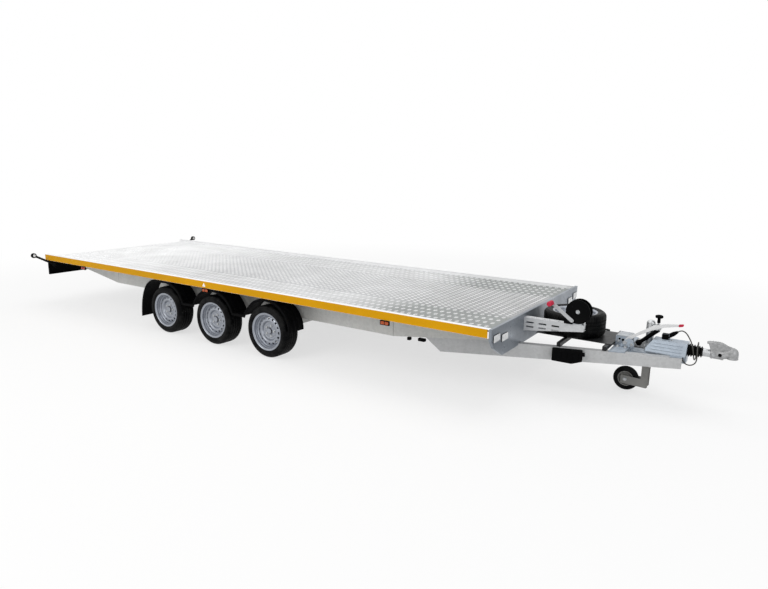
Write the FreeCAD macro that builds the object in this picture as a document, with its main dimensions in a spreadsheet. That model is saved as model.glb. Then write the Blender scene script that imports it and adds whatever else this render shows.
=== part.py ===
"""Car hauler trailer: a flat platform on three torsion axles, towed by a V drawbar.

Row frame in millimetres: +X forward to the coupling, +Y to the trailer's left, +Z up.
The origin is on the ground, midway between the deck's rear edge and the coupling's tip.
Every size that can be chosen is one row of SIZES; the rest is worked out from them.
"""
import FreeCAD, Part
import math
import os
import Sketcher
from FreeCAD import Placement, Rotation, Vector

# Columns: name in the sheet, value in millimetres (degrees for angles, plain for counts).
SIZES = (
    # deck
    ("deck_length", 6070), ("deck_width", 2096),
    ("rail_top", 640), ("rail_tall", 70), ("rail_flange", 45), ("rail_wall", 4),
    ("floor_top", 608), ("floor_thick", 5), ("lane_width", 550), ("seam_gap", 0.5),
    ("cross_width", 60), ("cross_count", 13), ("cross_wall", 4), ("end_inset", 30),
    # main beams, which bend inwards at the front
    ("beam_inset", 248), ("beam_wide", 60), ("beam_wall", 5), ("beam_low", 370),
    ("beam_taper", 1110), ("beam_rear_low", 548), ("bend_back", 980),
    ("nose_half", 150.1), ("nose_gap", 15.3),
    ("nose_rise", 710),
    # lower drawbar beams, in distance along the V from the bend
    ("bar_start", 285), ("bar_full", 410), ("bar_low_rear", 275),
    ("bar_front_tall", 81), ("bar_seat", 0.3),
    # running gear
    ("axle_group", 3087), ("axle_pitch", 739), ("hub_height", 252), ("wheel_inset", 93),
    ("axle_tube", 70), ("axle_lead", 150), ("axle_in", 175), ("arm_thick", 32), ("arm_tall", 60),
    ("spindle_radius", 17.5), ("spindle_clear", 0.05), ("back_plate_radius", 112),
    ("tyre_radius", 252), ("tyre_half", 95), ("bead_radius", 165), ("flange_radius", 182.5),
    ("rim_half", 83), ("flange_lip", 8), ("rim_wall", 4), ("well_radius", 146), ("disc_wall", 5),
    ("rim_hole_radius", 10), ("rim_hole_circle", 125), ("rim_holes", 16), ("hub_face", 26),
    ("centre_bore", 32), ("drum_radius", 118), ("drum_wall", 10), ("drum_back", 85),
    ("hub_flange_radius", 72), ("cap_radius", 30), ("cap_long", 24), ("bead_gap", 0.3),
    ("bead_in", 4), ("wall_clear", 1), ("swell_low", 200), ("swell_high", 222), ("shoulder_radius", 243),
    ("shoulder_in", 9), ("tread_in", 27), ("seat_out", 45), ("seat_in", 42), ("well_out", 32), ("well_in", 20),
    ("well_inner_gap", 5), ("disc_seat", 14), ("disc_seat_wide", 23), ("disc_crown", 53), ("disc_crown_radius", 108),
    ("disc_valley", 50), ("disc_valley_radius", 92), ("disc_foot_radius", 78), ("disc_spread", 2),
    ("hub_bore_in", 40), ("hub_barrel", 42), ("drum_face", 2), ("hub_neck", 60), ("hub_step", 14),
    ("cap_edge", 4), ("stub_in", 6), ("back_plate_gap", 8), ("back_plate_thick", 4),
    # mudguards
    ("guard_radius", 317.7), ("guard_wall", 4), ("guard_gap", 4), ("guard_wide", 192),
    ("guard_valley", 120), ("guard_front_shoulder", 56), ("guard_rear_shoulder", 85),
    # front end plate and lamps
    ("plate_deep", 22), ("plate_wall", 4), ("plate_low", 395), ("plate_flat_in", 218),
    ("plate_notch_gap", 0.5), ("plate_side_low", 555), ("plate_corner_in", 60), ("plate_corner_drop", 72),
    ("plate_chamfer_wide", 52), ("plate_chamfer_tall", 28), ("plate_corner_ease", 2),
    ("lamp_wide", 110), ("lamp_tall", 58), ("lamp_deep", 12), ("lamp_inset", 88), ("lamp_pitch", 155),
    ("lamp_height", 560), ("lamp_step", 25),
    # rear panel and lamps
    ("panel_low", 385), ("panel_side_gap", 14), ("panel_wall", 4), ("panel_inset", 26),
    ("tail_wide", 230), ("tail_tall", 100), ("tail_deep", 24), ("tail_in", 248),
    ("panel_foot", 22), ("tail_seat", 4), ("outline_root_in", 60), ("outline_root_drop", 60),
    ("outline_foot_half", 20), ("outline_foot_tall", 50), ("outline_lamp_deep", 44),
    ("outline_out", 197), ("outline_lamp", 30), ("outline_height", 645), ("outline_arm", 11),
    ("marker_long", 92), ("marker_tall", 40), ("marker_deep", 16), ("marker_out", 14),
    ("marker_rear", 855), ("marker_middle", 3010), ("marker_front", 5165),
    # winch
    ("support_clear", 148), ("support_wide", 60), ("support_long", 478), ("support_top", 609),
    ("support_rear_tall", 112), ("support_front_tall", 50), ("support_wall", 4),
    ("slot_long", 62), ("slot_tall", 13), ("slot_pitch", 104), ("slot_row", 36),
    ("winch_x", 446), ("winch_radius", 95), ("winch_rise", 103), ("winch_drum", 34),
    ("cover_thick", 8), ("cheek_thick", 4), ("base_long", 150), ("base_thick", 5),
    ("crank_thick", 6), ("grip_radius", 21), ("grip_long", 72), ("crank_back", 38), ("crank_drop", 72),
    ("crank_reach", 165), ("crank_rise", 122), ("crank_clear", 8), ("crank_pin", 9), ("winch_set", 20),
    ("winch_spindle", 9), ("spindle_out", 24), ("spindle_gap", 0.1), ("cheek_back", 60), ("cheek_ahead", 35),
    ("cheek_rise", 40), ("slot_first", 18), ("slot_drop", 38), ("hook_wide", 30), ("hook_rise", 28),
    # spare wheel and its carrier
    ("spare_ahead", 313), ("carrier_rise", 37), ("tray_rear", 60), ("tray_front", 672),
    ("tray_half", 205), ("tray_wall", 4), ("bar_section", 30), ("bar_first", 312), ("bar_second", 640),
    # overrun housing, coupling and handbrake
    ("housing_half", 55), ("housing_flare", 118), ("housing_long", 285),
    ("housing_below", 100), ("housing_above", 55), ("housing_cut", 42), ("housing_drop", 62),
    ("spine_long", 121), ("spine_tall", 36), ("bore_back", 60), ("head_ahead", 340.5),
    ("bracket_gap", 0.5), ("bracket_long", 112), ("bracket_half", 75), ("bracket_drop", 10),
    ("foot_long", 80), ("foot_in", 20), ("foot_edge", 12), ("fold_deep", 9),
    ("foot_thick", 8), ("shaft_radius", 30), ("shaft_height", 445), ("shaft_over_beam", 37), ("shaft_clear", 0.3),
    ("bellows_long", 105), ("bellows_rear", 52), ("bellows_front", 42), ("bellows_folds", 5),
    ("head_back", 185), ("head_radius", 42), ("head_below", 20), ("head_above", 67), ("head_half", 34),
    ("collar_long", 90), ("neck_start", 60), ("sleeve_long", 45), ("grip_half", 24), ("grip_rise", 92),
    ("grip_back", 12), ("grip_droop", 30), ("grip_bend", 20), ("grip_ease", 4), ("grip_flat", 58), ("grip_foot", 40),
    ("socket_radius", 25.4), ("socket_deep", 40), ("head_clear", 0.05), ("collar_radius", 38),
    ("lever_y", 92), ("lever_thick", 12),
    ("lever_pin", 10), ("lever_pin_ahead", 78), ("lever_pin_rise", 34),
    # jockey wheel
    ("jockey_back", 10), ("jockey_y", 95), ("jockey_tube", 30), ("jockey_leg", 24),
    ("leg_clear", 0.08), ("jockey_rise", 45), ("leg_low", 240), ("leg_held", 85),
    ("jockey_trail", 149), ("jockey_wheel", 100), ("jockey_tyre_half", 25), ("jockey_rim", 62),
    ("clamp_half", 20), ("clamp_low", 45),
    ("jockey_axle", 8), ("fork_gap", 8), ("fork_wall", 5), ("fork_run", 0.3),
    ("crank_head_radius", 34), ("crank_head_tall", 72), ("knob_ahead", 55), ("knob_radius", 23),
    ("knob_stem", 7), ("knob_low", 44), ("knob_rise", 56), ("knob_tall", 20),
    ("handle_radius", 12), ("handle_long", 166), ("handle_ball", 24), ("handle_lean", 133),
    ("handle_ahead", 70), ("handle_near", 50), ("lug_rear", 20), ("lug_front", 84), ("lug_near", 62),
    ("lug_far", 12), ("fork_tip", 34), ("fork_low", 52), ("fork_tip_low", 62), ("fork_tip_high", 132),
    ("fork_arm_high", 122), ("fork_back", 28), ("fork_ahead", 26), ("fork_heel", 10), ("fork_bridge", 16),
    ("pin_out", 5),
    # chocks and plug
    ("chock_start", 1311), ("chock_long", 230), ("chock_thick", 68), ("chock_tall", 90),
    ("chock_drop", 2), ("chock_gap", 0.3), ("chock_tab", 18),
    ("plug_radius", 17), ("plug_neck", 9), ("plug_long", 110), ("plug_lean", 36), ("plug_clear", 0.3),
    ("plug_back", 172), ("plug_rise", 8), ("holder_half", 20), ("holder_tall", 45),
    ("cable_radius", 4.5), ("cable_exit", 20), ("wrap_radius", 70), ("wrap_turns", 1), ("wrap_steps", 12),
    ("wrap_pitch", 24), ("wrap_start", -160), ("wrap_front", 74),
)


class Dim:
    """A length worked out from the sheet: its value now, and the formula that keeps it so."""

    def __init__(self, value, text):
        self.value = float(value)
        self.text = text

    def __add__(self, other):
        other = dim(other)
        return Dim(self.value + other.value, f"({self.text} + {other.text})")

    def __sub__(self, other):
        other = dim(other)
        return Dim(self.value - other.value, f"({self.text} - {other.text})")

    def __mul__(self, other):
        other = dim(other)
        return Dim(self.value * other.value, f"({self.text} * {other.text})")

    def __truediv__(self, other):
        other = dim(other)
        return Dim(self.value / other.value, f"({self.text} / {other.text})")

    def __neg__(self):
        return Dim(-self.value, f"(0 - {self.text})")

    __radd__ = __add__
    __rmul__ = __mul__

    def __rsub__(self, other):
        return dim(other) - self


def dim(value):
    """Give a plain number as a Dim, and a Dim as it is."""
    return value if isinstance(value, Dim) else Dim(value, repr(float(value)))


def sine(angle):
    """Sine of an angle in degrees."""
    angle = dim(angle)
    return Dim(math.sin(math.radians(angle.value)), f"sin({angle.text} * 1 deg)")


def cosine(angle):
    """Cosine of an angle in degrees."""
    angle = dim(angle)
    return Dim(math.cos(math.radians(angle.value)), f"cos({angle.text} * 1 deg)")


doc = FreeCAD.newDocument("car_hauler_trailer")
sheet = doc.addObject("Spreadsheet::Sheet", "sizes")
for row, (name, value) in enumerate(SIZES, start=1):
    sheet.set(f"A{row}", name)
    sheet.set(f"B{row}", str(value))
    sheet.setAlias(f"B{row}", name)
doc.recompute()


class Sizes:
    """Each row of the sheet as a Dim, by its name."""


s = Sizes()
for name, value in SIZES:
    setattr(s, name, Dim(value, f"sizes.{name}"))

# Places along the trailer that several pieces share.
housing_back = s.tray_front + s.bracket_gap + s.bracket_long + s.spine_long
nose_reach = housing_back + s.housing_long + s.head_ahead
rear_x = -(s.deck_length + nose_reach) / 2
front_x = rear_x + s.deck_length
tip_x = -rear_x
half_deck = s.deck_width / 2
rail_low = s.rail_top - s.rail_tall
floor_low = s.floor_top - s.floor_thick
bend_x = front_x - s.bend_back
plate_front = front_x + s.plate_deep
beam_half = half_deck - s.beam_inset
nose_low = s.shaft_height - s.shaft_over_beam
bar_low_front = nose_low - s.bar_front_tall
spare_low = nose_low + s.carrier_rise
chock_top = nose_low - s.chock_drop
chock_low = chock_top - s.chock_tall
wheel_half = half_deck - s.wheel_inset
axle_half = wheel_half - s.axle_in
guard_outer = half_deck - s.guard_gap
guard_inner = guard_outer - s.guard_wide
lamp_first = half_deck - s.lamp_inset
lamp_second = lamp_first - s.lamp_pitch
plate_flat = half_deck - s.plate_flat_in
panel_half = half_deck - s.panel_side_gap
tail_centre = half_deck - s.tail_in
outline_reach = half_deck + s.outline_out
housing_rear = front_x + housing_back
housing_front = housing_rear + s.housing_long
housing_low = s.shaft_height - s.housing_below
housing_top = s.shaft_height + s.housing_above
head_low = s.shaft_height - s.head_below
head_top = s.shaft_height + s.head_above
jockey_x = housing_rear - s.jockey_back
jockey_top = housing_top + s.jockey_rise
leg_top = housing_low + s.leg_held
# The V of the drawbar closes from the main beams' width to the nose's over its run.
nose_run = s.bend_back + housing_back + s.housing_long - s.nose_gap
slope = (beam_half - s.nose_half) / nose_run
drawbar_angle = Dim(math.degrees(math.atan(slope.value)), f"(atan({slope.text}) / 1 deg)")
axle_x = [rear_x + s.axle_group + s.axle_pitch * step for step in (-1, 0, 1)]
AXLE_NAMES = ("rear", "middle", "front")
# Flap corners of the mudguards: distance beyond the end wheel's centre, height above it.
GUARD_FRONT_FLAP = ((245, 203), (286, 134), (302, 66), (300, 35))
GUARD_REAR_FLAP = ((150, 316), (232, 301), (308, 252), (366, 168), (401, 70), (419, -30), (425, -130))
SIDES = (("right", -1), ("left", 1))
nodes = []


def bind(thing, **formulas):
    """Tie properties of an object to the sheet."""
    for prop, value in formulas.items():
        thing.setExpression(prop, dim(value).text)
    return thing


def put(thing, x=0, y=0, z=0, turn=None):
    """Place an object; its base follows the sheet, and turn is a fixed rotation."""
    if turn is not None:
        thing.Placement = Placement(Vector(), turn)
    for axis, value in zip("xyz", (x, y, z)):
        thing.setExpression(f"Placement.Base.{axis}", dim(value).text)
    return thing


def block(name, x_span, y_span, z_span):
    """A box between two values on each axis."""
    box = doc.addObject("Part::Box", name)
    bind(box, Length=x_span[1] - dim(x_span[0]), Width=y_span[1] - dim(y_span[0]),
         Height=z_span[1] - dim(z_span[0]))
    return put(box, x_span[0], y_span[0], z_span[0])


TURN = {"X": Rotation(Vector(0, 1, 0), 90), "Y": Rotation(Vector(1, 0, 0), -90), "Z": Rotation()}


def rod(name, axis, radius, start, length):
    """A cylinder from start along an axis of the frame."""
    cylinder = doc.addObject("Part::Cylinder", name)
    bind(cylinder, Radius=radius, Height=length)
    return put(cylinder, *start, turn=TURN[axis])


def fuse(name, shapes):
    """One solid of several that touch or overlap."""
    joined = doc.addObject("Part::MultiFuse", name)
    joined.Shapes = shapes
    joined.Refine = True
    return joined


def cut(name, base, tool):
    """The base less the tool."""
    result = doc.addObject("Part::Cut", name)
    result.Base = base
    result.Tool = tool
    return result


def group(name, shapes):
    """Like pieces that don't touch, kept together."""
    together = doc.addObject("Part::Compound", name)
    together.Links = shapes
    return together


def mirrored(name, source):
    """The same piece on the other side of the trailer."""
    other = doc.addObject("Part::Mirroring", name)
    other.Source = source
    other.Base = Vector(0, 0, 0)
    other.Normal = Vector(0, 1, 0)
    return other


def node(thing, label):
    """Name a finished piece and keep it for export."""
    thing.Label = label
    nodes.append(thing)
    return thing


def outline(body, name, plane, points):
    """A closed sketch of straight lines; every corner is held by two sizes from the origin."""
    sketch = body.newObject("Sketcher::SketchObject", name)
    origin_plane = [f for f in body.Origin.OriginFeatures if f.Role == plane][0]
    sketch.AttachmentSupport = (origin_plane, [""])
    sketch.MapMode = "FlatFace"
    places = [(dim(a), dim(b)) for a, b in points]
    corners = [Vector(a.value, b.value, 0) for a, b in places]
    count = len(corners)
    sketch.addGeometry([Part.LineSegment(corners[i], corners[(i + 1) % count]) for i in range(count)], False)
    rules = [Sketcher.Constraint("Coincident", i, 2, (i + 1) % count, 1) for i in range(count)]
    for i, corner in enumerate(corners):
        rules.append(Sketcher.Constraint("DistanceX", -1, 1, i, 1, corner.x))
        rules.append(Sketcher.Constraint("DistanceY", -1, 1, i, 1, corner.y))
    sketch.addConstraint(rules)
    for i, (a, b) in enumerate(places):
        sketch.setExpression(f"Constraints[{count + 2 * i}]", a.text)
        sketch.setExpression(f"Constraints[{count + 2 * i + 1}]", b.text)
    return sketch


def padded(name, plane, points, length):
    """A body with one outline padded along its plane's normal."""
    body = doc.addObject("PartDesign::Body", name)
    sketch = outline(body, name + "_outline", plane, points)
    pad = body.newObject("PartDesign::Pad", name + "_pad")
    pad.Profile = sketch
    pad.setExpression("Length", dim(length).text)
    body.Tip = pad
    return body


def slab_side(name, points, y_span):
    """An outline in X and Z, as thick as y_span."""
    return put(padded(name, "XZ_Plane", points, y_span[1] - dim(y_span[0])), y=y_span[1])


def slab_front(name, points, x_span):
    """An outline in Y and Z, as thick as x_span."""
    return put(padded(name, "YZ_Plane", points, x_span[1] - dim(x_span[0])), x=x_span[0])


def slab_top(name, points, z_span):
    """An outline in X and Y, as thick as z_span."""
    return put(padded(name, "XY_Plane", points, z_span[1] - dim(z_span[0])), z=z_span[0])


def turned(name, plane, axis, points):
    """A body with one outline turned round an axis of its sketch."""
    body = doc.addObject("PartDesign::Body", name)
    sketch = outline(body, name + "_outline", plane, points)
    revolution = body.newObject("PartDesign::Revolution", name + "_turn")
    revolution.Profile = sketch
    revolution.ReferenceAxis = (sketch, [axis])
    revolution.Angle = 360
    body.Tip = revolution
    return body


def mirror_y(points):
    """The same outline on the other side of Y = 0, for outlines in Y and Z."""
    return [(-dim(a), b) for a, b in points]


def make_deck():
    """Floor plates, side rails with their flanges, and the cross beams under them."""
    lane_edge = half_deck - s.rail_wall
    lane_inner = lane_edge - s.lane_width
    node(block("floor_middle", (rear_x, front_x), (-(lane_inner - s.seam_gap), lane_inner - s.seam_gap),
               (floor_low, s.floor_top)), "deck_floor_middle")
    lanes = [block("lane_right", (rear_x, front_x), (-lane_edge, -lane_inner), (floor_low, s.floor_top)),
             block("lane_left", (rear_x, front_x), (lane_inner, lane_edge), (floor_low, s.floor_top))]
    node(group("lanes", lanes), "deck_lanes")
    rail = [(-half_deck, rail_low), (-half_deck, s.rail_top), (s.rail_flange - half_deck, s.rail_top),
            (s.rail_flange - half_deck, s.rail_top - s.rail_wall), (s.rail_wall - half_deck, s.rail_top - s.rail_wall),
            (s.rail_wall - half_deck, rail_low + s.rail_wall), (s.rail_flange - half_deck, rail_low + s.rail_wall),
            (s.rail_flange - half_deck, rail_low)]
    for side, sign in SIDES:
        points = rail if sign < 0 else mirror_y(rail)
        node(slab_front(f"rail_{side}", points, (rear_x, front_x)), f"side_rail_{side}")
    first = rear_x + s.end_inset
    pitch = (s.deck_length - s.end_inset * 2 - s.cross_width) / (s.cross_count - 1)
    reach = half_deck - s.rail_flange
    bars = []
    for i in range(int(s.cross_count.value)):
        low_x = first + pitch * i
        outer = block(f"cross_{i}", (low_x, low_x + s.cross_width), (-reach, reach), (rail_low, floor_low))
        inner = block(f"cross_{i}_hollow", (low_x + s.cross_wall, low_x + s.cross_width - s.cross_wall),
                      (-reach - 1, reach + 1), (rail_low, floor_low - s.cross_wall))
        bars.append(cut(f"cross_{i}_hat", outer, inner))
    node(group("cross", bars), "cross_beams")


def channel(name, outer, inner, thick, wall):
    """A folded C section on its side: a web facing outwards at Y = 0, flanges reaching to thick."""
    solid = slab_side(name + "_outer", outer, (0, thick))
    hollow = slab_side(name + "_inner", inner, (wall, thick + 1))
    return cut(name + "_channel", solid, hollow)


def along_drawbar(thing, outward=0):
    """Place a piece made along X so that it follows the right-hand side of the V."""
    thing.Placement = Placement(Vector(), Rotation(Vector(0, 0, 1), drawbar_angle.value))
    thing.setExpression("Placement.Rotation.Angle", drawbar_angle.text)
    for axis, value in (("x", bend_x + dim(outward) * sine(drawbar_angle)),
                        ("y", -beam_half - dim(outward) * cosine(drawbar_angle))):
        thing.setExpression(f"Placement.Base.{axis}", dim(value).text)
    return thing


def make_chassis():
    """Main beams with their bent front ends, and the lower drawbar beams."""
    wall = s.beam_wall
    back = rear_x + s.end_inset
    taper = back + s.beam_taper
    outer = [(back, rail_low), (back, s.beam_rear_low), (taper, s.beam_low), (bend_x, s.beam_low), (bend_x, rail_low)]
    inner = [(back - 1, rail_low - wall), (back - 1, s.beam_rear_low + wall), (taper, s.beam_low + wall),
             (bend_x + 1, s.beam_low + wall), (bend_x + 1, rail_low - wall)]
    straight = channel("main_straight", outer, inner, s.beam_wide, wall)
    put(straight, y=-beam_half)
    nose_end = s.bend_back / cosine(drawbar_angle) - s.beam_wide * slope
    outer = [(0, rail_low), (0, s.beam_low), (s.nose_rise, nose_low), (nose_end, nose_low), (nose_end, rail_low)]
    inner = [(-1, rail_low - wall), (-1, s.beam_low + wall), (s.nose_rise, nose_low + wall),
             (nose_end + 1, nose_low + wall), (nose_end + 1, rail_low - wall)]
    nose = along_drawbar(channel("main_nose", outer, inner, s.beam_wide, wall))
    right = node(fuse("main_right", [straight, nose]), "main_beam_right")
    node(mirrored("main_left", right), "main_beam_left")
    rise = (nose_low - s.beam_low) / s.nose_rise
    top_start = s.beam_low + rise * s.bar_start - s.bar_seat
    bar_end = nose_run / cosine(drawbar_angle)
    top = nose_low - s.bar_seat
    outer = [(s.bar_start, top_start), (s.bar_full, s.bar_low_rear), (bar_end, bar_low_front), (bar_end, top),
             (s.nose_rise, top)]
    inner = [(s.bar_start + wall, top_start - wall), (s.bar_full + wall, s.bar_low_rear + wall),
             (bar_end + 1, bar_low_front + wall), (bar_end + 1, top - wall), (s.nose_rise, top - wall)]
    right = node(along_drawbar(channel("drawbar", outer, inner, s.beam_wide, wall)), "drawbar_beam_right")
    node(mirrored("drawbar_left", right), "drawbar_beam_left")


def make_axles():
    """Torsion axles: a square tube, a trailing arm and a stub each side, and the brakes' back plates."""
    for name, x in zip(AXLE_NAMES, axle_x):
        tube_x = x + s.axle_lead
        tube_low = s.beam_low - s.axle_tube
        half = s.axle_tube / 2
        pieces = [block(f"tube_{name}", (tube_x - half, tube_x + half), (-axle_half, axle_half),
                        (tube_low, s.beam_low))]
        arm = [(x - s.arm_tall / 2, s.hub_height - s.arm_tall / 2), (tube_x + half, tube_low),
               (tube_x + half, s.beam_low), (tube_x - half, s.beam_low),
               (x - s.arm_tall / 2, s.hub_height + s.arm_tall / 2)]
        outer = axle_half + s.arm_thick
        plate = wheel_half - s.drum_back - s.back_plate_gap
        for side, sign in SIDES:
            span = (-outer, -axle_half) if sign < 0 else (axle_half, outer)
            pieces.append(slab_side(f"arm_{name}_{side}", arm, span))
            stub_end = wheel_half + s.hub_face - s.stub_in
            stub_start = -stub_end if sign < 0 else outer
            pieces.append(rod(f"stub_{name}_{side}", "Y", s.spindle_radius, (x, stub_start, s.hub_height),
                              stub_end - outer))
            plate_start = -plate if sign < 0 else plate - s.back_plate_thick
            pieces.append(rod(f"back_plate_{name}_{side}", "Y", s.back_plate_radius,
                              (x, plate_start, s.hub_height), s.back_plate_thick))
        node(fuse(f"axle_{name}_all", pieces), f"axle_{name}")


def tyre_points():
    """Half section of a tyre as radius and distance from its middle plane."""
    half = s.tyre_half
    seat = s.bead_radius + s.bead_gap
    beads = s.rim_half - s.bead_gap
    wall = s.flange_radius + s.wall_clear
    return [(seat, s.bead_in - beads), (wall, s.bead_in - beads), (s.swell_low, -half), (s.swell_high, -half),
            (s.shoulder_radius, s.shoulder_in - half), (s.tyre_radius, s.tread_in - half),
            (s.tyre_radius, half - s.tread_in), (s.shoulder_radius, half - s.shoulder_in), (s.swell_high, half),
            (s.swell_low, half), (wall, beads), (seat, beads)]


def rim_points():
    """Half section of a wheel: barrel with its well, and the dished disc."""
    w = s.rim_half
    lip = s.flange_lip
    seat = s.bead_radius
    wall = s.rim_wall
    well = s.well_radius
    face = s.hub_face
    disc = s.disc_wall
    gap = s.well_inner_gap
    spread = s.disc_spread
    inner_flange = s.bead_in - w
    return [(s.flange_radius, w + lip), (s.flange_radius, w), (seat, w), (seat, s.seat_out), (well, s.well_out),
            (well, -s.well_in), (seat, -s.seat_in), (seat, inner_flange), (s.flange_radius, inner_flange),
            (s.flange_radius, inner_flange - lip + s.bead_in - 1), (seat - wall, 1 - w),
            (seat - wall, -s.seat_in - gap), (well - wall, -s.well_in - gap), (well - wall, s.disc_seat),
            (s.disc_crown_radius, s.disc_crown), (s.disc_valley_radius, s.disc_valley), (s.disc_foot_radius, face),
            (s.centre_bore, face), (s.centre_bore, face + disc), (s.disc_foot_radius + spread, face + disc),
            (s.disc_valley_radius + spread, s.disc_valley + disc),
            (s.disc_crown_radius + spread + 1, s.disc_crown + disc), (well - wall, s.disc_seat + disc * 2),
            (well - wall, s.disc_seat + s.disc_seat_wide), (seat - wall, s.seat_out + gap), (seat - wall, w + spread),
            (s.flange_radius - spread * 3, w + lip)]


def make_rim(name):
    """A pressed steel wheel about its own Y axis, with a ring of round vent holes."""
    body = turned(name, "XY_Plane", "V_Axis", rim_points())
    holes = []
    count = int(s.rim_holes.value)
    for i in range(count):
        angle = 360 / count * (i + 0.5)
        holes.append(rod(f"{name}_hole_{i}", "Y", s.rim_hole_radius,
                         (s.rim_hole_circle * cosine(angle), s.well_in, s.rim_hole_circle * sine(angle)),
                         s.disc_crown + s.disc_seat))
    return cut(name + "_vented", body, group(name + "_holes", holes))


def make_drum(name):
    """Hub and brake drum in one, with the bearing cap that shows through the wheel."""
    bore = s.spindle_radius + s.spindle_clear
    face = s.hub_face
    ring = s.drum_radius
    return turned(name, "XY_Plane", "V_Axis", [
        (bore, -s.hub_bore_in), (s.hub_barrel, -s.hub_bore_in), (s.hub_barrel, -s.drum_face - s.drum_wall),
        (ring - s.drum_wall, -s.drum_face - s.drum_wall), (ring - s.drum_wall, -s.drum_back),
        (ring, -s.drum_back), (ring, -s.drum_face), (s.hub_neck, -s.drum_face), (s.hub_flange_radius, s.hub_step),
        (s.hub_flange_radius, face), (s.cap_radius, face), (s.cap_radius, face + s.cap_long - s.cap_edge),
        (s.cap_radius - s.cap_edge, face + s.cap_long), (0, face + s.cap_long), (0, face), (bore, face)])


def make_wheels():
    """Six road wheels: tyre, rim and hub with drum, the right-hand ones turned to face outwards."""
    for axle, x in zip(AXLE_NAMES, axle_x):
        for side, sign in SIDES:
            name = f"{axle}_{side}"
            turn = Rotation() if sign > 0 else Rotation(Vector(0, 0, 1), 180)
            place = (x, wheel_half * sign, s.hub_height)
            tyre = turned(f"tyre_{name}_body", "XY_Plane", "V_Axis", tyre_points())
            node(put(tyre, *place, turn=turn), f"tyre_{name}")
            node(put(make_rim(f"rim_{name}_body"), *place, turn=turn), f"rim_{name}")
            node(put(make_drum(f"hub_{name}_body"), *place, turn=turn), f"hub_drum_{name}")


def guard_edges(inset):
    """The moulding's side outline, inset from its outer face: flaps, arches and the valleys between them."""
    radius = s.guard_radius.value - inset
    height = s.hub_height.value
    centres = [x.value for x in axle_x]
    valley = math.asin((s.guard_valley.value - inset) / radius)
    front_angle = math.radians(s.guard_front_shoulder.value)
    rear_angle = math.pi - math.radians(s.guard_rear_shoulder.value)

    def on_arch(centre, angle):
        return Vector(centre + radius * math.cos(angle), 0, height + radius * math.sin(angle))

    def flap(centre, sign, angle, corners):
        points = [on_arch(centre, angle)]
        for ahead, above in corners:
            share = 1 - inset / math.hypot(ahead, above)
            points.append(Vector(centre + sign * ahead * share, 0, height + above * share))
        return points

    rear = flap(centres[0], -1, rear_angle, GUARD_REAR_FLAP)[::-1]
    front = flap(centres[-1], 1, front_angle, GUARD_FRONT_FLAP)
    edges = [Part.LineSegment(a, b).toShape() for a, b in zip(rear, rear[1:])]
    for i, centre in enumerate(centres):
        start = rear_angle if i == 0 else math.pi - valley
        end = front_angle if i == len(centres) - 1 else valley
        arch = Part.Arc(*[on_arch(centre, angle) for angle in (start, (start + end) / 2, end)])
        edges.append(arch.toShape())
        if i < len(centres) - 1:
            edges.append(Part.LineSegment(on_arch(centre, valley), on_arch(centres[i + 1], math.pi - valley)).toShape())
    edges += [Part.LineSegment(a, b).toShape() for a, b in zip(front, front[1:])]
    return edges, rear[0], front[-1]


def make_mudguards():
    """Each side's moulding, one wall thick, over the three wheels."""
    outer, outer_rear, outer_front = guard_edges(0)
    inner, inner_rear, inner_front = guard_edges(s.guard_wall.value)
    ends = [Part.LineSegment(outer_rear, inner_rear).toShape(), Part.LineSegment(outer_front, inner_front).toShape()]
    band = Part.Face(Part.Wire(Part.__sortEdges__(outer + inner + ends)))
    width = guard_outer.value - guard_inner.value
    for side, sign in SIDES:
        guard = doc.addObject("Part::Feature", f"mudguard_{side}_body")
        guard.Shape = band.extrude(Vector(0, width, 0))
        put(guard, y=guard_inner if sign > 0 else -guard_outer)
        node(guard, f"mudguard_{side}")


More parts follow.
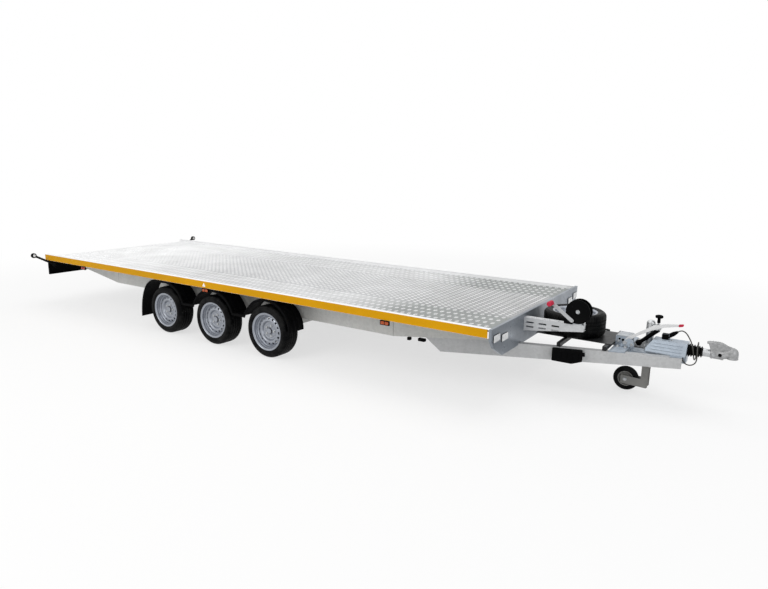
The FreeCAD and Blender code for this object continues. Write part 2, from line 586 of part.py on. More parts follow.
def make_front_end():
    """The pressed plate across the deck's front edge, and the white lamps and reflectors on it."""
    half = half_deck
    corner_low = s.plate_side_low - s.plate_corner_drop
    chamfer_half = plate_flat + s.plate_chamfer_wide
    outer = [(-half, s.plate_side_low), (-half, s.rail_top), (half, s.rail_top), (half, s.plate_side_low),
             (half - s.plate_corner_in, corner_low), (chamfer_half, s.plate_low + s.plate_chamfer_tall),
             (plate_flat, s.plate_low), (-plate_flat, s.plate_low),
             (-chamfer_half, s.plate_low + s.plate_chamfer_tall), (s.plate_corner_in - half, corner_low)]
    w = s.plate_wall
    ease = s.plate_corner_ease
    inner = [(w - half, s.plate_side_low), (w - half, s.rail_top - w), (half - w, s.rail_top - w),
             (half - w, s.plate_side_low), (half - s.plate_corner_in - w, corner_low + ease),
             (chamfer_half - ease, s.plate_low + s.plate_chamfer_tall + w), (plate_flat, s.plate_low + w),
             (-plate_flat, s.plate_low + w), (ease - chamfer_half, s.plate_low + s.plate_chamfer_tall + w),
             (s.plate_corner_in + w - half, corner_low + ease)]
    pressing = slab_front("front_pressing", outer, (front_x, plate_front))
    hollow = slab_front("front_hollow", inner, (front_x - 1, plate_front - w))
    notches = []
    for side, sign in SIDES:
        outer_y = beam_half - s.bend_back * slope + s.plate_notch_gap
        beam_across = s.beam_wide / cosine(drawbar_angle)
        inner_y = beam_half - (s.bend_back + s.plate_deep) * slope - beam_across - s.plate_notch_gap
        span = (inner_y, outer_y) if sign > 0 else (-outer_y, -inner_y)
        notches.append(block(f"plate_notch_{side}", (front_x - 1, plate_front + 1), span,
                             (s.bar_low_rear, nose_low + s.plate_notch_gap)))
    node(cut("front_plate", pressing, group("plate_rooms", [hollow] + notches)), "front_end_plate")
    lamps = []
    for side, sign in SIDES:
        for place, drop in ((lamp_first, 0), (lamp_second, s.lamp_step)):
            y = place * sign
            z = s.lamp_height - drop
            lamps.append(block(f"front_lamp_{side}_{len(lamps)}", (plate_front, plate_front + s.lamp_deep),
                               (y - s.lamp_wide / 2, y + s.lamp_wide / 2), (z - s.lamp_tall / 2, z + s.lamp_tall / 2)))
    node(group("front_lamps_all", lamps), "front_lamps")


def make_rear_end():
    """The dark panel across the rear, its lamps, the outline lamps on rubber arms, the side markers."""
    x = rear_x + s.panel_inset
    face = x - s.panel_wall
    upright = block("panel_upright", (face, x), (-panel_half, panel_half), (s.panel_low, rail_low))
    foot = block("panel_foot", (x, x + s.panel_foot), (-panel_half, panel_half),
                 (s.panel_low, s.panel_low + s.panel_wall))
    node(fuse("panel", [upright, foot]), "rear_panel")
    lamps, outlines, markers = [], [], []
    middle = (s.panel_low + rail_low) / 2
    for side, sign in SIDES:
        y = tail_centre * sign
        lamps.append(block(f"tail_{side}", (face - s.tail_deep + s.tail_seat, face),
                           (y - s.tail_wide / 2, y + s.tail_wide / 2),
                           (middle - s.tail_tall / 2, middle + s.tail_tall / 2)))
        outlines.append(make_outline_lamp(side, sign))
        for i, back in enumerate((s.marker_rear, s.marker_middle, s.marker_front)):
            mx = rear_x + back
            span = (half_deck + s.marker_out - s.marker_deep, half_deck + s.marker_out)
            span = span if sign > 0 else (-span[1], -span[0])
            markers.append(block(f"marker_{side}_{i}", (mx - s.marker_long / 2, mx + s.marker_long / 2), span,
                                 (rail_low - s.marker_tall, rail_low)))
    node(group("tail_lamps_all", lamps), "tail_lamps")
    node(group("outline_lamps_all", outlines), "outline_lamps")
    node(group("markers_all", markers), "side_markers")


def make_outline_lamp(side, sign):
    """A round lamp at the end of a rubber arm that leans out past the deck's rear corner."""
    root_y = panel_half - s.outline_root_in
    root_z = rail_low - s.outline_root_drop
    end_y = outline_reach - s.outline_lamp
    half = s.outline_foot_half
    tall = s.outline_foot_tall / 2
    x = rear_x + s.panel_inset + s.outline_arm + half
    run = end_y - root_y
    climb = s.outline_height - root_z
    rake = math.degrees(math.atan2(climb.value, run.value))
    arm = doc.addObject("Part::Cylinder", f"outline_arm_{side}")
    bind(arm, Radius=s.outline_arm)
    arm.Height = math.hypot(run.value, climb.value)
    lean = 90 - rake
    arm.Placement = Placement(Vector(x.value, root_y.value * sign, root_z.value),
                              Rotation(Vector(1, 0, 0), -lean * sign))
    lamp = rod(f"outline_lamp_{side}", "X", s.outline_lamp,
               (x - s.outline_lamp_deep / 2, end_y * sign, s.outline_height), s.outline_lamp_deep)
    foot = block(f"outline_foot_{side}", (rear_x + s.panel_inset, x + s.outline_arm),
                 (root_y * sign - half, root_y * sign + half), (root_z - tall, root_z + tall))
    return fuse(f"outline_{side}", [arm, lamp, foot])


# Corners of the crank's flat arm, ahead of and above its pivot, and the same from its grip.
CRANK_ROOT = ((-8, -16), (20, 6))
CRANK_END = ((7, 10), (-7, -10))


def make_winch():
    """The tapered support bolted to the front plate, the winch on it, and its crank."""
    y0 = -s.tyre_radius - s.support_clear
    y1 = y0 + s.support_wide
    back = plate_front
    front = back + s.support_long
    w = s.support_wall
    top = s.support_top
    outer = [(back, top - s.support_rear_tall), (front, top - s.support_front_tall), (front, top), (back, top)]
    inner = [(back - 1, top - s.support_rear_tall + w), (front + 1, top - s.support_front_tall + w),
             (front + 1, top - w), (back - 1, top - w)]
    shell = cut("support_shell", slab_side("support_outer", outer, (y0, y1)),
                slab_side("support_inner", inner, (y0 + w, y1 + 1)))
    slots = []
    for column in range(3):
        for line in range(2):
            sx = back + s.slot_first + s.slot_pitch * column
            sz = top - s.slot_drop - s.slot_row * line
            slots.append(block(f"slot_{column}_{line}", (sx, sx + s.slot_long), (y0 - 1, y0 + w + 1),
                               (sz - s.slot_tall / 2, sz + s.slot_tall / 2)))
    slotted = cut("support_slotted", shell, group("support_slots", slots))
    hook = block("support_hook", (front, front + w), (y0, y0 + s.hook_wide),
                 (top - s.hook_wide, top + s.hook_rise))
    node(fuse("support", [slotted, hook]), "winch_support")
    cx = back + s.winch_x - s.winch_set
    cz = top + s.winch_rise
    frame = [block("winch_base", (cx - s.base_long * 0.7, cx + s.base_long * 0.3), (y0, y1),
                   (top, top + s.base_thick))]
    for i, cheek in enumerate((y0, y1 - s.cheek_thick)):
        frame.append(block(f"winch_cheek_{i}", (cx - s.cheek_back, cx + s.cheek_ahead),
                           (cheek, cheek + s.cheek_thick), (top, cz + s.cheek_rise)))
    frame.append(rod("winch_shaft", "Y", s.winch_spindle, (cx, y0 - s.spindle_out, cz),
                     s.support_wide + s.spindle_out * 2))
    spindle_room = s.winch_spindle + s.spindle_gap
    node(fuse("winch_frame_all", frame), "winch_frame")
    drum = cut("winch_drum_turned", rod("winch_barrel", "Y", s.winch_drum, (cx, y0 + s.cheek_thick + 1, cz),
                                        s.support_wide - s.cheek_thick * 2 - 2),
               rod("winch_barrel_bore", "Y", spindle_room, (cx, y0, cz), s.support_wide))
    node(drum, "winch_drum")
    covers = []
    for i, low in enumerate((y0 - s.cover_thick, y1)):
        disc = rod(f"cover_{i}_disc", "Y", s.winch_radius, (cx, low, cz), s.cover_thick)
        bore = rod(f"cover_{i}_bore", "Y", spindle_room, (cx, low - 1, cz), s.cover_thick + 2)
        covers.append(cut(f"cover_{i}", disc, bore))
    node(group("covers", covers), "winch_covers")
    pivot_x = cx - s.crank_back
    pivot_z = cz - s.crank_drop
    grip_x = pivot_x - s.crank_reach
    grip_z = pivot_z + s.crank_rise
    arm_y = y0 - s.cover_thick - s.crank_clear
    corners = [(pivot_x + ahead, pivot_z + up) for ahead, up in CRANK_ROOT]
    corners += [(grip_x + ahead, grip_z + up) for ahead, up in CRANK_END]
    arm = slab_side("crank_arm", corners, (arm_y - s.crank_thick, arm_y))
    pin_long = s.cover_thick + s.crank_clear + 2
    pin = rod("crank_pin", "Y", s.crank_pin, (pivot_x, y0 - pin_long, pivot_z), pin_long)
    grip = rod("crank_grip", "Y", s.grip_radius, (grip_x, arm_y - s.crank_thick - s.grip_long, grip_z), s.grip_long)
    crank = cut("crank_clear", fuse("crank_all", [arm, pin, grip]),
                rod("crank_room", "Y", s.winch_radius + 1, (cx, y0 - s.cover_thick - 0.5, cz), s.cover_thick + 0.5))
    node(crank, "winch_crank")


def make_spare():
    """The spare wheel lying flat ahead of the deck, on a tray over two bars across the drawbar."""
    x = front_x + s.spare_ahead
    flat = Rotation(Vector(1, 0, 0), 90)
    middle = spare_low + s.tyre_half
    node(put(turned("spare_tyre_body", "XY_Plane", "V_Axis", tyre_points()), x, 0, middle, turn=flat), "spare_tyre")
    node(put(make_rim("spare_rim_body"), x, 0, middle, turn=flat), "spare_rim")
    low = nose_low
    top = spare_low
    tray = block("tray", (front_x + s.tray_rear, front_x + s.tray_front), (-s.tray_half, s.tray_half),
                 (top - s.tray_wall, top))
    pieces = [tray]
    for i, ahead in enumerate((s.bar_first, s.bar_second)):
        bar_x = front_x + ahead
        reach = beam_half - (s.bend_back + ahead) * slope - 22
        pieces.append(block(f"carrier_bar_{i}", (bar_x - s.bar_section / 2, bar_x + s.bar_section / 2),
                            (-reach, reach), (low, top - s.tray_wall)))
    node(fuse("carrier", pieces), "spare_carrier")


# Handbrake lever's outline, from its root round the tip: ahead of the bracket's rear, above the foot.
LEVER_OUTLINE = ((33, 0.3), (143, 0.3), (208, 39), (186, 96), (284, 174), (358, 202), (483, 226), (483, 246),
                 (356, 224), (272, 196), (166, 122), (48, 46))
# Turns the plug's own Y axis, along which it is turned, to point forward and up.
PLUG_TURN = Rotation(Vector(0, 1, 0), Vector(cosine(s.plug_lean).value, 0, sine(s.plug_lean).value))


def plug_place():
    """Middle of the plug's inner end, in its holder on top of the housing."""
    return housing_front - s.plug_back, dim(0), housing_top + s.plug_rise


def plug_points(clear):
    """Half section of the plug, or of its seat where clear is more than nothing."""
    return [(0, -dim(clear)), (s.plug_radius + clear, -dim(clear)), (s.plug_radius + clear, s.plug_long * 0.7),
            (s.plug_neck + clear, s.plug_long), (0, s.plug_long)]


def make_overrun():
    """Overrun housing between the drawbar beams, shaft, bellows, coupling head, handbrake lever."""
    half = s.housing_half
    low = housing_low
    top = housing_top
    beam_top = nose_low
    foot_top = beam_top + s.foot_thick
    section = [(-half, top), (-s.housing_flare, foot_top), (-s.housing_flare, beam_top), (-half, beam_top),
               (-half, low), (half, low), (half, beam_top), (s.housing_flare, beam_top),
               (s.housing_flare, foot_top), (half, top)]
    flared = slab_front("housing_section", section, (housing_rear, housing_front))
    side = slab_side("housing_side", [(housing_rear, low), (housing_front, low), (housing_front, top),
                                      (housing_rear + s.housing_cut, top), (housing_rear, top - s.housing_drop)],
                     (-s.housing_flare, s.housing_flare))
    box = doc.addObject("Part::Common", "housing_box")
    box.Base = flared
    box.Tool = side
    bracket_rear = front_x + s.tray_front + s.bracket_gap
    bracket_front = bracket_rear + s.bracket_long
    bracket = block("housing_bracket", (bracket_rear, bracket_front), (-s.bracket_half, s.bracket_half),
                    (low, top - s.bracket_drop))
    spine = block("housing_spine", (bracket_front, housing_rear), (-half, half), (low, low + s.spine_tall))
    feet = []
    front_foot = (housing_front - s.foot_in - s.foot_long, housing_front - s.foot_in)
    for i, (x0, x1) in enumerate(((bracket_rear, bracket_front), front_foot)):
        reach = beam_half - (x0 - bend_x) * slope - s.foot_edge
        far = beam_half - (x1 - bend_x) * slope - s.foot_edge
        feet.append(slab_top(f"housing_foot_{i}", [(x0, -reach), (x1, -far), (x1, far), (x0, reach)],
                             (nose_low, nose_low + s.foot_thick)))
    holder_x = housing_front - s.plug_back - s.plug_radius
    holder = block("plug_holder", (holder_x, holder_x + s.plug_radius * 3), (-s.holder_half, s.holder_half),
                   (top, top + s.holder_tall))
    solid = fuse("housing_all", [box, spine, bracket, holder] + feet)
    bore = rod("housing_bore", "X", s.shaft_radius + s.shaft_clear, (housing_rear + s.bore_back, 0, s.shaft_height),
               s.housing_long)
    room = rod("housing_tube_room", "Z", s.jockey_tube + s.shaft_clear, (jockey_x, s.jockey_y, low - 5),
               top - low + 10)
    seat = put(turned("plug_seat", "XY_Plane", "V_Axis", plug_points(s.plug_clear)), *plug_place(), turn=PLUG_TURN)
    node(cut("housing", solid, group("housing_rooms", [bore, room, seat])), "overrun_housing")
    shaft_end = tip_x - s.head_back + s.sleeve_long - s.head_clear
    shaft_start = housing_rear + s.bore_back + s.shaft_clear
    node(rod("shaft", "X", s.shaft_radius, (shaft_start, 0, s.shaft_height), shaft_end - shaft_start), "coupling_shaft")
    start = housing_front + s.shaft_clear
    folds = int(s.bellows_folds.value)
    points = []
    for i in range(folds):
        share = i / folds
        ridge = s.bellows_rear - (s.bellows_rear - s.bellows_front) * share
        points += [(s.bellows_long * share, ridge - s.fold_deep), (s.bellows_long * (share + 0.5 / folds), ridge)]
    bore = s.shaft_radius + s.shaft_clear
    points += [(s.bellows_long, s.bellows_front - s.fold_deep), (s.bellows_long, bore), (0, bore)]
    node(put(turned("bellows_body", "XY_Plane", "H_Axis", points), start, 0, s.shaft_height), "bellows")
    make_coupling_head()
    y = -s.lever_y
    points = [(bracket_rear + ahead, beam_top + s.foot_thick + up) for ahead, up in LEVER_OUTLINE]
    lever = slab_side("lever", points, (y - s.lever_thick, y))
    pin = rod("lever_pin", "Y", s.lever_pin, (bracket_rear + s.lever_pin_ahead, y, beam_top + s.lever_pin_rise),
              s.lever_y - s.bracket_half)
    node(fuse("lever_all", [lever, pin]), "handbrake_lever")


def make_coupling_head():
    """Pressed coupling for a towing ball: collar on the shaft, nose with its socket, closing handle."""
    z = s.shaft_height
    back = tip_x - s.head_back
    nose_x = tip_x - s.head_radius
    start = back + s.neck_start
    half = s.head_half
    collar = rod("head_collar", "X", s.collar_radius, (back, 0, z), s.collar_long)
    neck = slab_side("head_neck", [(start, z - half), (nose_x, head_low + 6), (nose_x, head_top),
                                   (start, z + s.collar_radius)], (-half, half))
    nose = rod("head_nose", "Z", s.head_radius, (nose_x, 0, head_low), head_top - head_low)
    grip_top = z + s.grip_rise
    handle = slab_side("head_handle", [
        (back - s.grip_back, grip_top - s.grip_droop), (start - s.grip_bend, grip_top - s.grip_ease),
        (start + s.grip_flat, grip_top), (nose_x, head_top), (nose_x - s.grip_foot, head_top),
        (back + s.collar_long, z + half), (start, z + half), (start, grip_top - s.grip_bend),
        (back - s.grip_back + s.grip_ease, grip_top - s.grip_droop - s.grip_back)], (-s.grip_half, s.grip_half))
    solid = fuse("head_all", [collar, neck, nose, handle])
    socket = rod("head_socket", "Z", s.socket_radius, (nose_x, 0, head_low - 1), s.socket_deep + 1)
    sleeve = rod("head_sleeve", "X", s.shaft_radius + s.head_clear, (back - 1, 0, z), s.sleeve_long + 1)
    node(cut("head", cut("head_socketed", solid, socket), sleeve), "coupling_head")


def make_jockey():
    """Jockey wheel beside the housing: outer tube and crank, sliding leg, trailing fork, wheel."""
    x, y = jockey_x, s.jockey_y
    outer = rod("jockey_outer", "Z", s.jockey_tube, (x, y, housing_low), jockey_top - housing_low)
    bore = rod("jockey_bore", "Z", s.jockey_leg + s.leg_clear, (x, y, housing_low - 1),
               jockey_top - housing_low - 9)
    clamp = block("jockey_clamp", (x - s.clamp_half, housing_rear - s.shaft_clear), (s.housing_half + s.shaft_clear, y),
                  (housing_low + s.clamp_low, housing_low + s.clamp_low + s.clamp_half * 2))
    node(cut("jockey_tube_all", fuse("jockey_tube_solid", [outer, clamp]), bore), "jockey_tube")
    base = jockey_top
    head = rod("jockey_head", "Z", s.crank_head_radius, (x, y, base), s.crank_head_tall)
    knob_low = s.knob_low + s.knob_rise
    knob = put(turned("jockey_knob", "XZ_Plane", "V_Axis", [
        (0, s.knob_low), (s.knob_stem, s.knob_low), (s.knob_stem, knob_low), (s.knob_radius, knob_low),
        (s.knob_radius, knob_low + s.knob_tall), (0, knob_low + s.knob_tall)]), x + s.knob_ahead, y, base)
    lug = block("jockey_lug", (x + s.lug_rear, x + s.lug_front), (y - s.lug_near, y + s.lug_far),
                (base + 2, base + s.knob_low + 2))
    long, ball = s.handle_long, s.handle_ball
    handle = put(turned("jockey_handle", "XZ_Plane", "V_Axis", [
        (0, 0), (s.handle_radius, 0), (s.handle_radius, long), (ball, long + ball * 0.5),
        (ball, long + ball * 1.5), (s.handle_radius, long + ball * 2), (0, long + ball * 2)]),
        x + s.handle_ahead, y - s.handle_near, base + s.handle_radius,
        turn=Rotation(Vector(0, 1, 0), -s.handle_lean.value))
    node(fuse("jockey_crank_all", [head, knob, lug, handle]), "jockey_crank")
    node(rod("jockey_leg_tube", "Z", s.jockey_leg, (x, y, s.leg_low), leg_top - s.leg_low), "jockey_leg")
    wx = x - s.jockey_trail
    top = s.leg_low - s.fork_run
    inner = s.jockey_tyre_half + s.fork_gap
    ahead, back = x + s.fork_ahead, x - s.fork_back
    arm = [(wx - s.fork_tip, s.fork_tip_low), (ahead - s.fork_heel, s.fork_low), (ahead, s.fork_low + s.fork_heel),
           (ahead, top), (back, top), (back, s.fork_arm_high), (wx - s.fork_tip, s.fork_tip_high)]
    pieces = [slab_side("fork_near", arm, (y - inner - s.fork_wall, y - inner)),
              slab_side("fork_far", arm, (y + inner, y + inner + s.fork_wall)),
              block("fork_bridge", (back, ahead), (y - inner - s.fork_wall, y + inner + s.fork_wall),
                    (top - s.fork_bridge, top)),
              rod("fork_pin", "Y", s.jockey_axle, (wx, y - inner - s.fork_wall - s.pin_out, s.jockey_wheel),
                  (inner + s.fork_wall + s.pin_out) * 2)]
    node(fuse("fork", pieces), "jockey_fork")
    half = s.jockey_tyre_half
    rim = s.jockey_rim
    node(put(turned("jockey_tyre_body", "XY_Plane", "V_Axis", [
        (rim + 0.3, -half + 3), (rim + 18, -half), (s.jockey_wheel - 6, -half), (s.jockey_wheel, -half + 8),
        (s.jockey_wheel, half - 8), (s.jockey_wheel - 6, half), (rim + 18, half), (rim + 0.3, half - 3)]),
        wx, y, s.jockey_wheel), "jockey_tyre")
    bore = s.jockey_axle + s.spindle_clear
    node(put(turned("jockey_rim_body", "XY_Plane", "V_Axis", [
        (bore, -half - 2), (16, -half - 2), (18, -5), (rim - 8, -5), (rim - 6, -half + 2), (rim, -half + 2),
        (rim, half - 2), (rim - 6, half - 2), (rim - 8, 5), (18, 5), (16, half + 2), (bore, half + 2)]),
        wx, y, s.jockey_wheel), "jockey_rim")


def make_chocks():
    """A folding wheel chock parked on the outer face of each drawbar beam."""
    a = s.chock_start
    b = a + s.chock_long
    right = slab_side("chock", [(a, chock_low), (a + s.chock_long * 0.66, chock_low - 14), (b, chock_low + 10),
                                (b, chock_top - 40), (b + s.chock_tab, chock_top - 40),
                                (b + s.chock_tab, chock_top - 18), (b, chock_top - 18), (b, chock_top),
                                (a, chock_top)], (-s.chock_thick, 0))
    along_drawbar(right, s.chock_gap)
    right.setExpression("Placement.Base.x", (bend_x + s.chock_gap * sine(drawbar_angle)).text)
    node(group("chocks", [right, mirrored("chock_left", right)]), "wheel_chocks")


# The lead's way down from the front foot and up in a hanging loop, then from the bellows up to the
# plug: distance ahead of the housing's front, to the left of the middle, and above the ground.
LEAD_LOOP = ((-23, -73, 408), (-23, -73, 383), (-10, -74, 360), (12, -75, 347), (38, -75, 347),
             (61, -74, 360), (74, -70, 383))
LEAD_TAIL = ((44, -68, 458), (35, -60, 492), (22, -46, 521), (3, -31, 548), (-18, -16, 573), (-42, -5, 587))


def lead_points():
    """Corners of the lead's route, with its turns round the bellows worked out by a loop."""
    front = housing_front.value
    axis = s.shaft_height.value
    turn_steps = int(s.wrap_steps.value)
    points = [Vector(front + ahead, left, up) for ahead, left, up in LEAD_LOOP]
    for i in range(int(turn_steps * s.wrap_turns.value) + 1):
        angle = math.radians(s.wrap_start.value - 360 * i / turn_steps)
        points.append(Vector(front + s.wrap_front.value - s.wrap_pitch.value * i / turn_steps,
                             s.wrap_radius.value * math.cos(angle), axis + s.wrap_radius.value * math.sin(angle)))
    points += [Vector(front + ahead, left, up) for ahead, left, up in LEAD_TAIL]
    along = PLUG_TURN.multVec(Vector(0, 1, 0))
    mouth = Vector(*[value.value for value in plug_place()]) + along * s.plug_long.value
    return points + [mouth + along * s.cable_exit.value, mouth]


def rounded_wire(points):
    """Straight runs joined by tangent arcs, each as large as its two runs allow."""
    edges = []
    start = points[0]
    radii = []
    for before, corner, after in zip(points, points[1:], points[2:]):
        into = (corner - before).normalize()
        away = (after - corner).normalize()
        turn = into.getAngle(away)
        trim = 0.45 * min((corner - before).Length, (after - corner).Length)
        radii.append(trim / math.tan(turn / 2))
        first = corner - into * trim
        last = corner + away * trim
        inward = (away - into).normalize()
        centre = corner + inward * (radii[-1] / math.cos(turn / 2))
        middle = centre - inward * radii[-1]
        edges.append(Part.LineSegment(start, first).toShape())
        edges.append(Part.Arc(first, middle, last).toShape())
        start = last
    edges.append(Part.LineSegment(start, points[-1]).toShape())
    print("lead radii", " ".join(f"{radius:.0f}" for radius in radii))
    return Part.Wire(edges)


def make_lead():
    """The plug parked in its holder on the housing, and the seven-core lead that ends in it."""
    node(put(turned("plug_body", "XY_Plane", "V_Axis", plug_points(0)), *plug_place(), turn=PLUG_TURN), "plug")
    points = lead_points()
    wire = rounded_wire(points)
    ring = Part.Wire(Part.makeCircle(s.cable_radius.value, points[0], points[1] - points[0]))
    tube = wire.makePipeShell([ring], True, False)
    lead = doc.addObject("Part::Feature", "lead")
    lead.Shape = tube
    print("lead length", round(wire.Length), "volume over section times length",
          round(tube.Volume / (math.pi * s.cable_radius.value ** 2 * wire.Length), 4))
    node(lead, "lead")


def check_and_export():
    """Stop at any feature that failed, then write each piece to its own file."""
    doc.recompute()
    bad = [thing.Name for thing in doc.Objects if {"Invalid", "Error"} & set(thing.State)]
    for piece in nodes:
        shape = piece.Shape
        if shape.isNull() or not shape.isValid() or not shape.Solids:
            bad.append(piece.Label)
    if bad:
        raise RuntimeError("these failed: " + ", ".join(bad))
    os.makedirs("parts", exist_ok=True)
    for piece in nodes:
        piece.Shape.exportStep(os.path.join("parts", piece.Label + ".step"))
        print(piece.Label, len(piece.Shape.Solids), round(piece.Shape.Volume / 1e6, 3))


make_deck()
make_chassis()
make_axles()
make_wheels()
make_mudguards()
make_front_end()
make_rear_end()
make_winch()
make_spare()
make_overrun()
make_jockey()
make_chocks()
make_lead()
check_and_export()
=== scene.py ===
"""Looks of the car hauler trailer: a chequer platform on three axles behind a V drawbar.

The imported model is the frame. Each class below dresses one sub-assembly around it, in metres:
+X forward to the coupling, +Y to the trailer's left, +Z up, the ground at zero.
"""
from __future__ import annotations

import logging
import math
from dataclasses import dataclass
from enum import Enum
from typing import Sequence

import bmesh
import bpy
import numpy as np
from mathutils import Matrix, Vector

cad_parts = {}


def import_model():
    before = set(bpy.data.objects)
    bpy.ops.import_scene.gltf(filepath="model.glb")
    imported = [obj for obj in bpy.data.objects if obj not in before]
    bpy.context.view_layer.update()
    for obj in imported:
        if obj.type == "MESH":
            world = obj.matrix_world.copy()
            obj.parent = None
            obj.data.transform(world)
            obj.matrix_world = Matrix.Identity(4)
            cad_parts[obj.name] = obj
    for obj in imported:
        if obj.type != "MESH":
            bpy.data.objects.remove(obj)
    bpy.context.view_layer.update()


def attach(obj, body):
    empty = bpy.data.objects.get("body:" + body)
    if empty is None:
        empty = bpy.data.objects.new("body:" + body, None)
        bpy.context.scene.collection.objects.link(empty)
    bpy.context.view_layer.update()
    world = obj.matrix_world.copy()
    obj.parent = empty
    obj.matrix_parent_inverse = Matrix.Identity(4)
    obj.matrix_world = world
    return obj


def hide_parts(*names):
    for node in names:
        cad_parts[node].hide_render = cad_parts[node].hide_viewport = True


log = logging.getLogger("trailer")

Array = np.ndarray
Colour = tuple[float, float, float]
Point = tuple[float, float, float]
Pair = tuple[float, float]
Socket = bpy.types.NodeSocket
PHOTO_WIDTH = 768


class Side(Enum):
    """Which side of the trailer a piece is on, as the sign of its Y."""

    RIGHT = -1
    LEFT = 1

    @property
    def label(self) -> str:
        """Word used in names."""
        return self.name.lower()


class Axle(Enum):
    """The three axles, from the back."""

    REAR = "rear"
    MIDDLE = "middle"
    FRONT = "front"


class Along(Enum):
    """An axis of the frame, as the order in which a shape's own numbers go to X, Y and Z."""

    X = (2, 0, 1)
    Y = (1, 2, 0)
    Z = (0, 1, 2)


# Shapes: each function gives whole arrays of points and of faces with equal corner counts.


class Shape:
    """A mesh in the making: blocks of points and of faces, joined once at the end."""

    def __init__(self) -> None:
        """Start with nothing."""
        self.points: list[Array] = []
        self.faces: list[Array] = []
        self.count = 0

    def add(self, points: Array, *faces: Array) -> "Shape":
        """Append a block.

        Args:
            points: Places of the new points, as rows.
            faces: Arrays of corner numbers, counted from this block's first point.

        Returns:
            The same shape.
        """
        points = np.asarray(points, float).reshape(-1, 3)
        self.points.append(points)
        self.faces += [np.asarray(block, int) + self.count for block in faces if len(block)]
        self.count += len(points)
        return self

    def join(self, other: "Shape", matrix: Matrix | None = None) -> "Shape":
        """Append another shape, moved by a matrix.

        Args:
            other: The shape to copy in.
            matrix: Where it goes.

        Returns:
            The same shape.
        """
        points = np.concatenate(other.points)
        if matrix is not None:
            turn = np.array(matrix, float)
            points = points @ turn[:3, :3].T + turn[:3, 3]
        return self.add(points, *other.faces)

    def copies(self, other: "Shape", places: Array) -> "Shape":
        """Append one copy of a shape at each place.

        Args:
            other: The shape to repeat.
            places: Offsets, as rows of X, Y and Z.

        Returns:
            The same shape.
        """
        base = np.concatenate(other.points)
        places = np.asarray(places, float).reshape(-1, 3)
        points = (base[None] + places[:, None]).reshape(-1, 3)
        steps = np.arange(len(places)) * len(base)
        return self.add(points, *[(block[None] + steps[:, None, None]).reshape(-1, block.shape[1])
                                  for block in other.faces])

    def mirror(self) -> "Shape":
        """The same shape on the other side of Y = 0, with its faces turned back outwards."""
        return Shape().add(np.concatenate(self.points) * (1, -1, 1),
                           *[block[:, ::-1] for block in self.faces])

    def both(self) -> "Shape":
        """This shape, made for the left side, and its mirror image on the right."""
        return Shape().join(self).join(self.mirror())

    def mesh(self, name: str) -> bpy.types.Mesh:
        """Join the blocks into a mesh.

        Args:
            name: The mesh's name.

        Returns:
            The new mesh, with its doubles merged and its faces outwards.
        """
        mesh = bpy.data.meshes.new(name)
        points = np.concatenate(self.points)
        sizes = np.concatenate([np.full(len(block), block.shape[1]) for block in self.faces])
        loops = np.concatenate([block.ravel() for block in self.faces])
        starts = np.concatenate([[0], np.cumsum(sizes)[:-1]])
        mesh.vertices.add(len(points))
        mesh.vertices.foreach_set("co", points.astype(np.float32).ravel())
        mesh.loops.add(len(loops))
        mesh.loops.foreach_set("vertex_index", loops.astype(np.int32))
        mesh.polygons.add(len(sizes))
        mesh.polygons.foreach_set("loop_start", starts.astype(np.int32))
        mesh.polygons.foreach_set("loop_total", sizes.astype(np.int32))
        mesh.update(calc_edges=True)
        mesh.validate()
        work = bmesh.new()
        work.from_mesh(mesh)
        bmesh.ops.remove_doubles(work, verts=work.verts, dist=1e-6)
        bmesh.ops.recalc_face_normals(work, faces=work.faces)
        work.to_mesh(mesh)
        work.free()
        return mesh


def grid_faces(rows: int, columns: int, wrap_rows: bool = False, wrap_columns: bool = False) -> Array:
    """Four-sided faces of a grid of points stored row by row.

    Args:
        rows: Number of rows.
        columns: Points in a row.
        wrap_rows: Join the last row to the first.
        wrap_columns: Join each row's last point to its first.

    Returns:
        Corner numbers, four to a face.
    """
    i = np.arange(rows if wrap_rows else rows - 1)[:, None]
    j = np.arange(columns if wrap_columns else columns - 1)[None]
    i2 = (i + 1) % rows
    j2 = (j + 1) % columns
    corners = [i * columns + j, i2 * columns + j, i2 * columns + j2, i * columns + j2]
    return np.stack([corner + 0 * i + 0 * j for corner in corners], -1).reshape(-1, 4)


def surface(points: Array, wrap_rows: bool = False, wrap_columns: bool = False, caps: bool = False) -> Shape:
    """A shape from a grid of points.

    Args:
        points: Array of rows by columns by three.
        wrap_rows: Join the last row to the first.
        wrap_columns: Join each row's ends.
        caps: Close the first and last rows with one face each.

    Returns:
        The surface.
    """
    rows, columns = points.shape[:2]
    faces = [grid_faces(rows, columns, wrap_rows, wrap_columns)]
    if caps:
        faces += [np.arange(columns)[None, ::-1], (np.arange(columns) + (rows - 1) * columns)[None]]
    return Shape().add(points, *faces)


def placed(points: Array, axis: Along, centre: Sequence[float] = (0, 0, 0)) -> Array:
    """Points made round their own third axis, laid along an axis of the frame.

    Args:
        points: Places with the axis last.
        axis: Where the axis points.
        centre: Where the own origin goes.

    Returns:
        Places in the frame.
    """
    return np.asarray(points, float)[..., list(axis.value)] + np.asarray(centre, float)


def mm(*pairs: Pair, base: Pair = (0, 0)) -> list[Pair]:
    """Pairs given in millimetres from a base, as metres."""
    return [(base[0] + a / 1000, base[1] + b / 1000) for a, b in pairs]


def rectangle(low: Pair, high: Pair) -> list[Pair]:
    """Corners of a rectangle between two opposite ones."""
    return [low, (high[0], low[1]), high, (low[0], high[1])]


def around(middle: Pair, half: Pair) -> list[Pair]:
    """Corners of a rectangle about its middle."""
    return rectangle((middle[0] - half[0], middle[1] - half[1]), (middle[0] + half[0], middle[1] + half[1]))


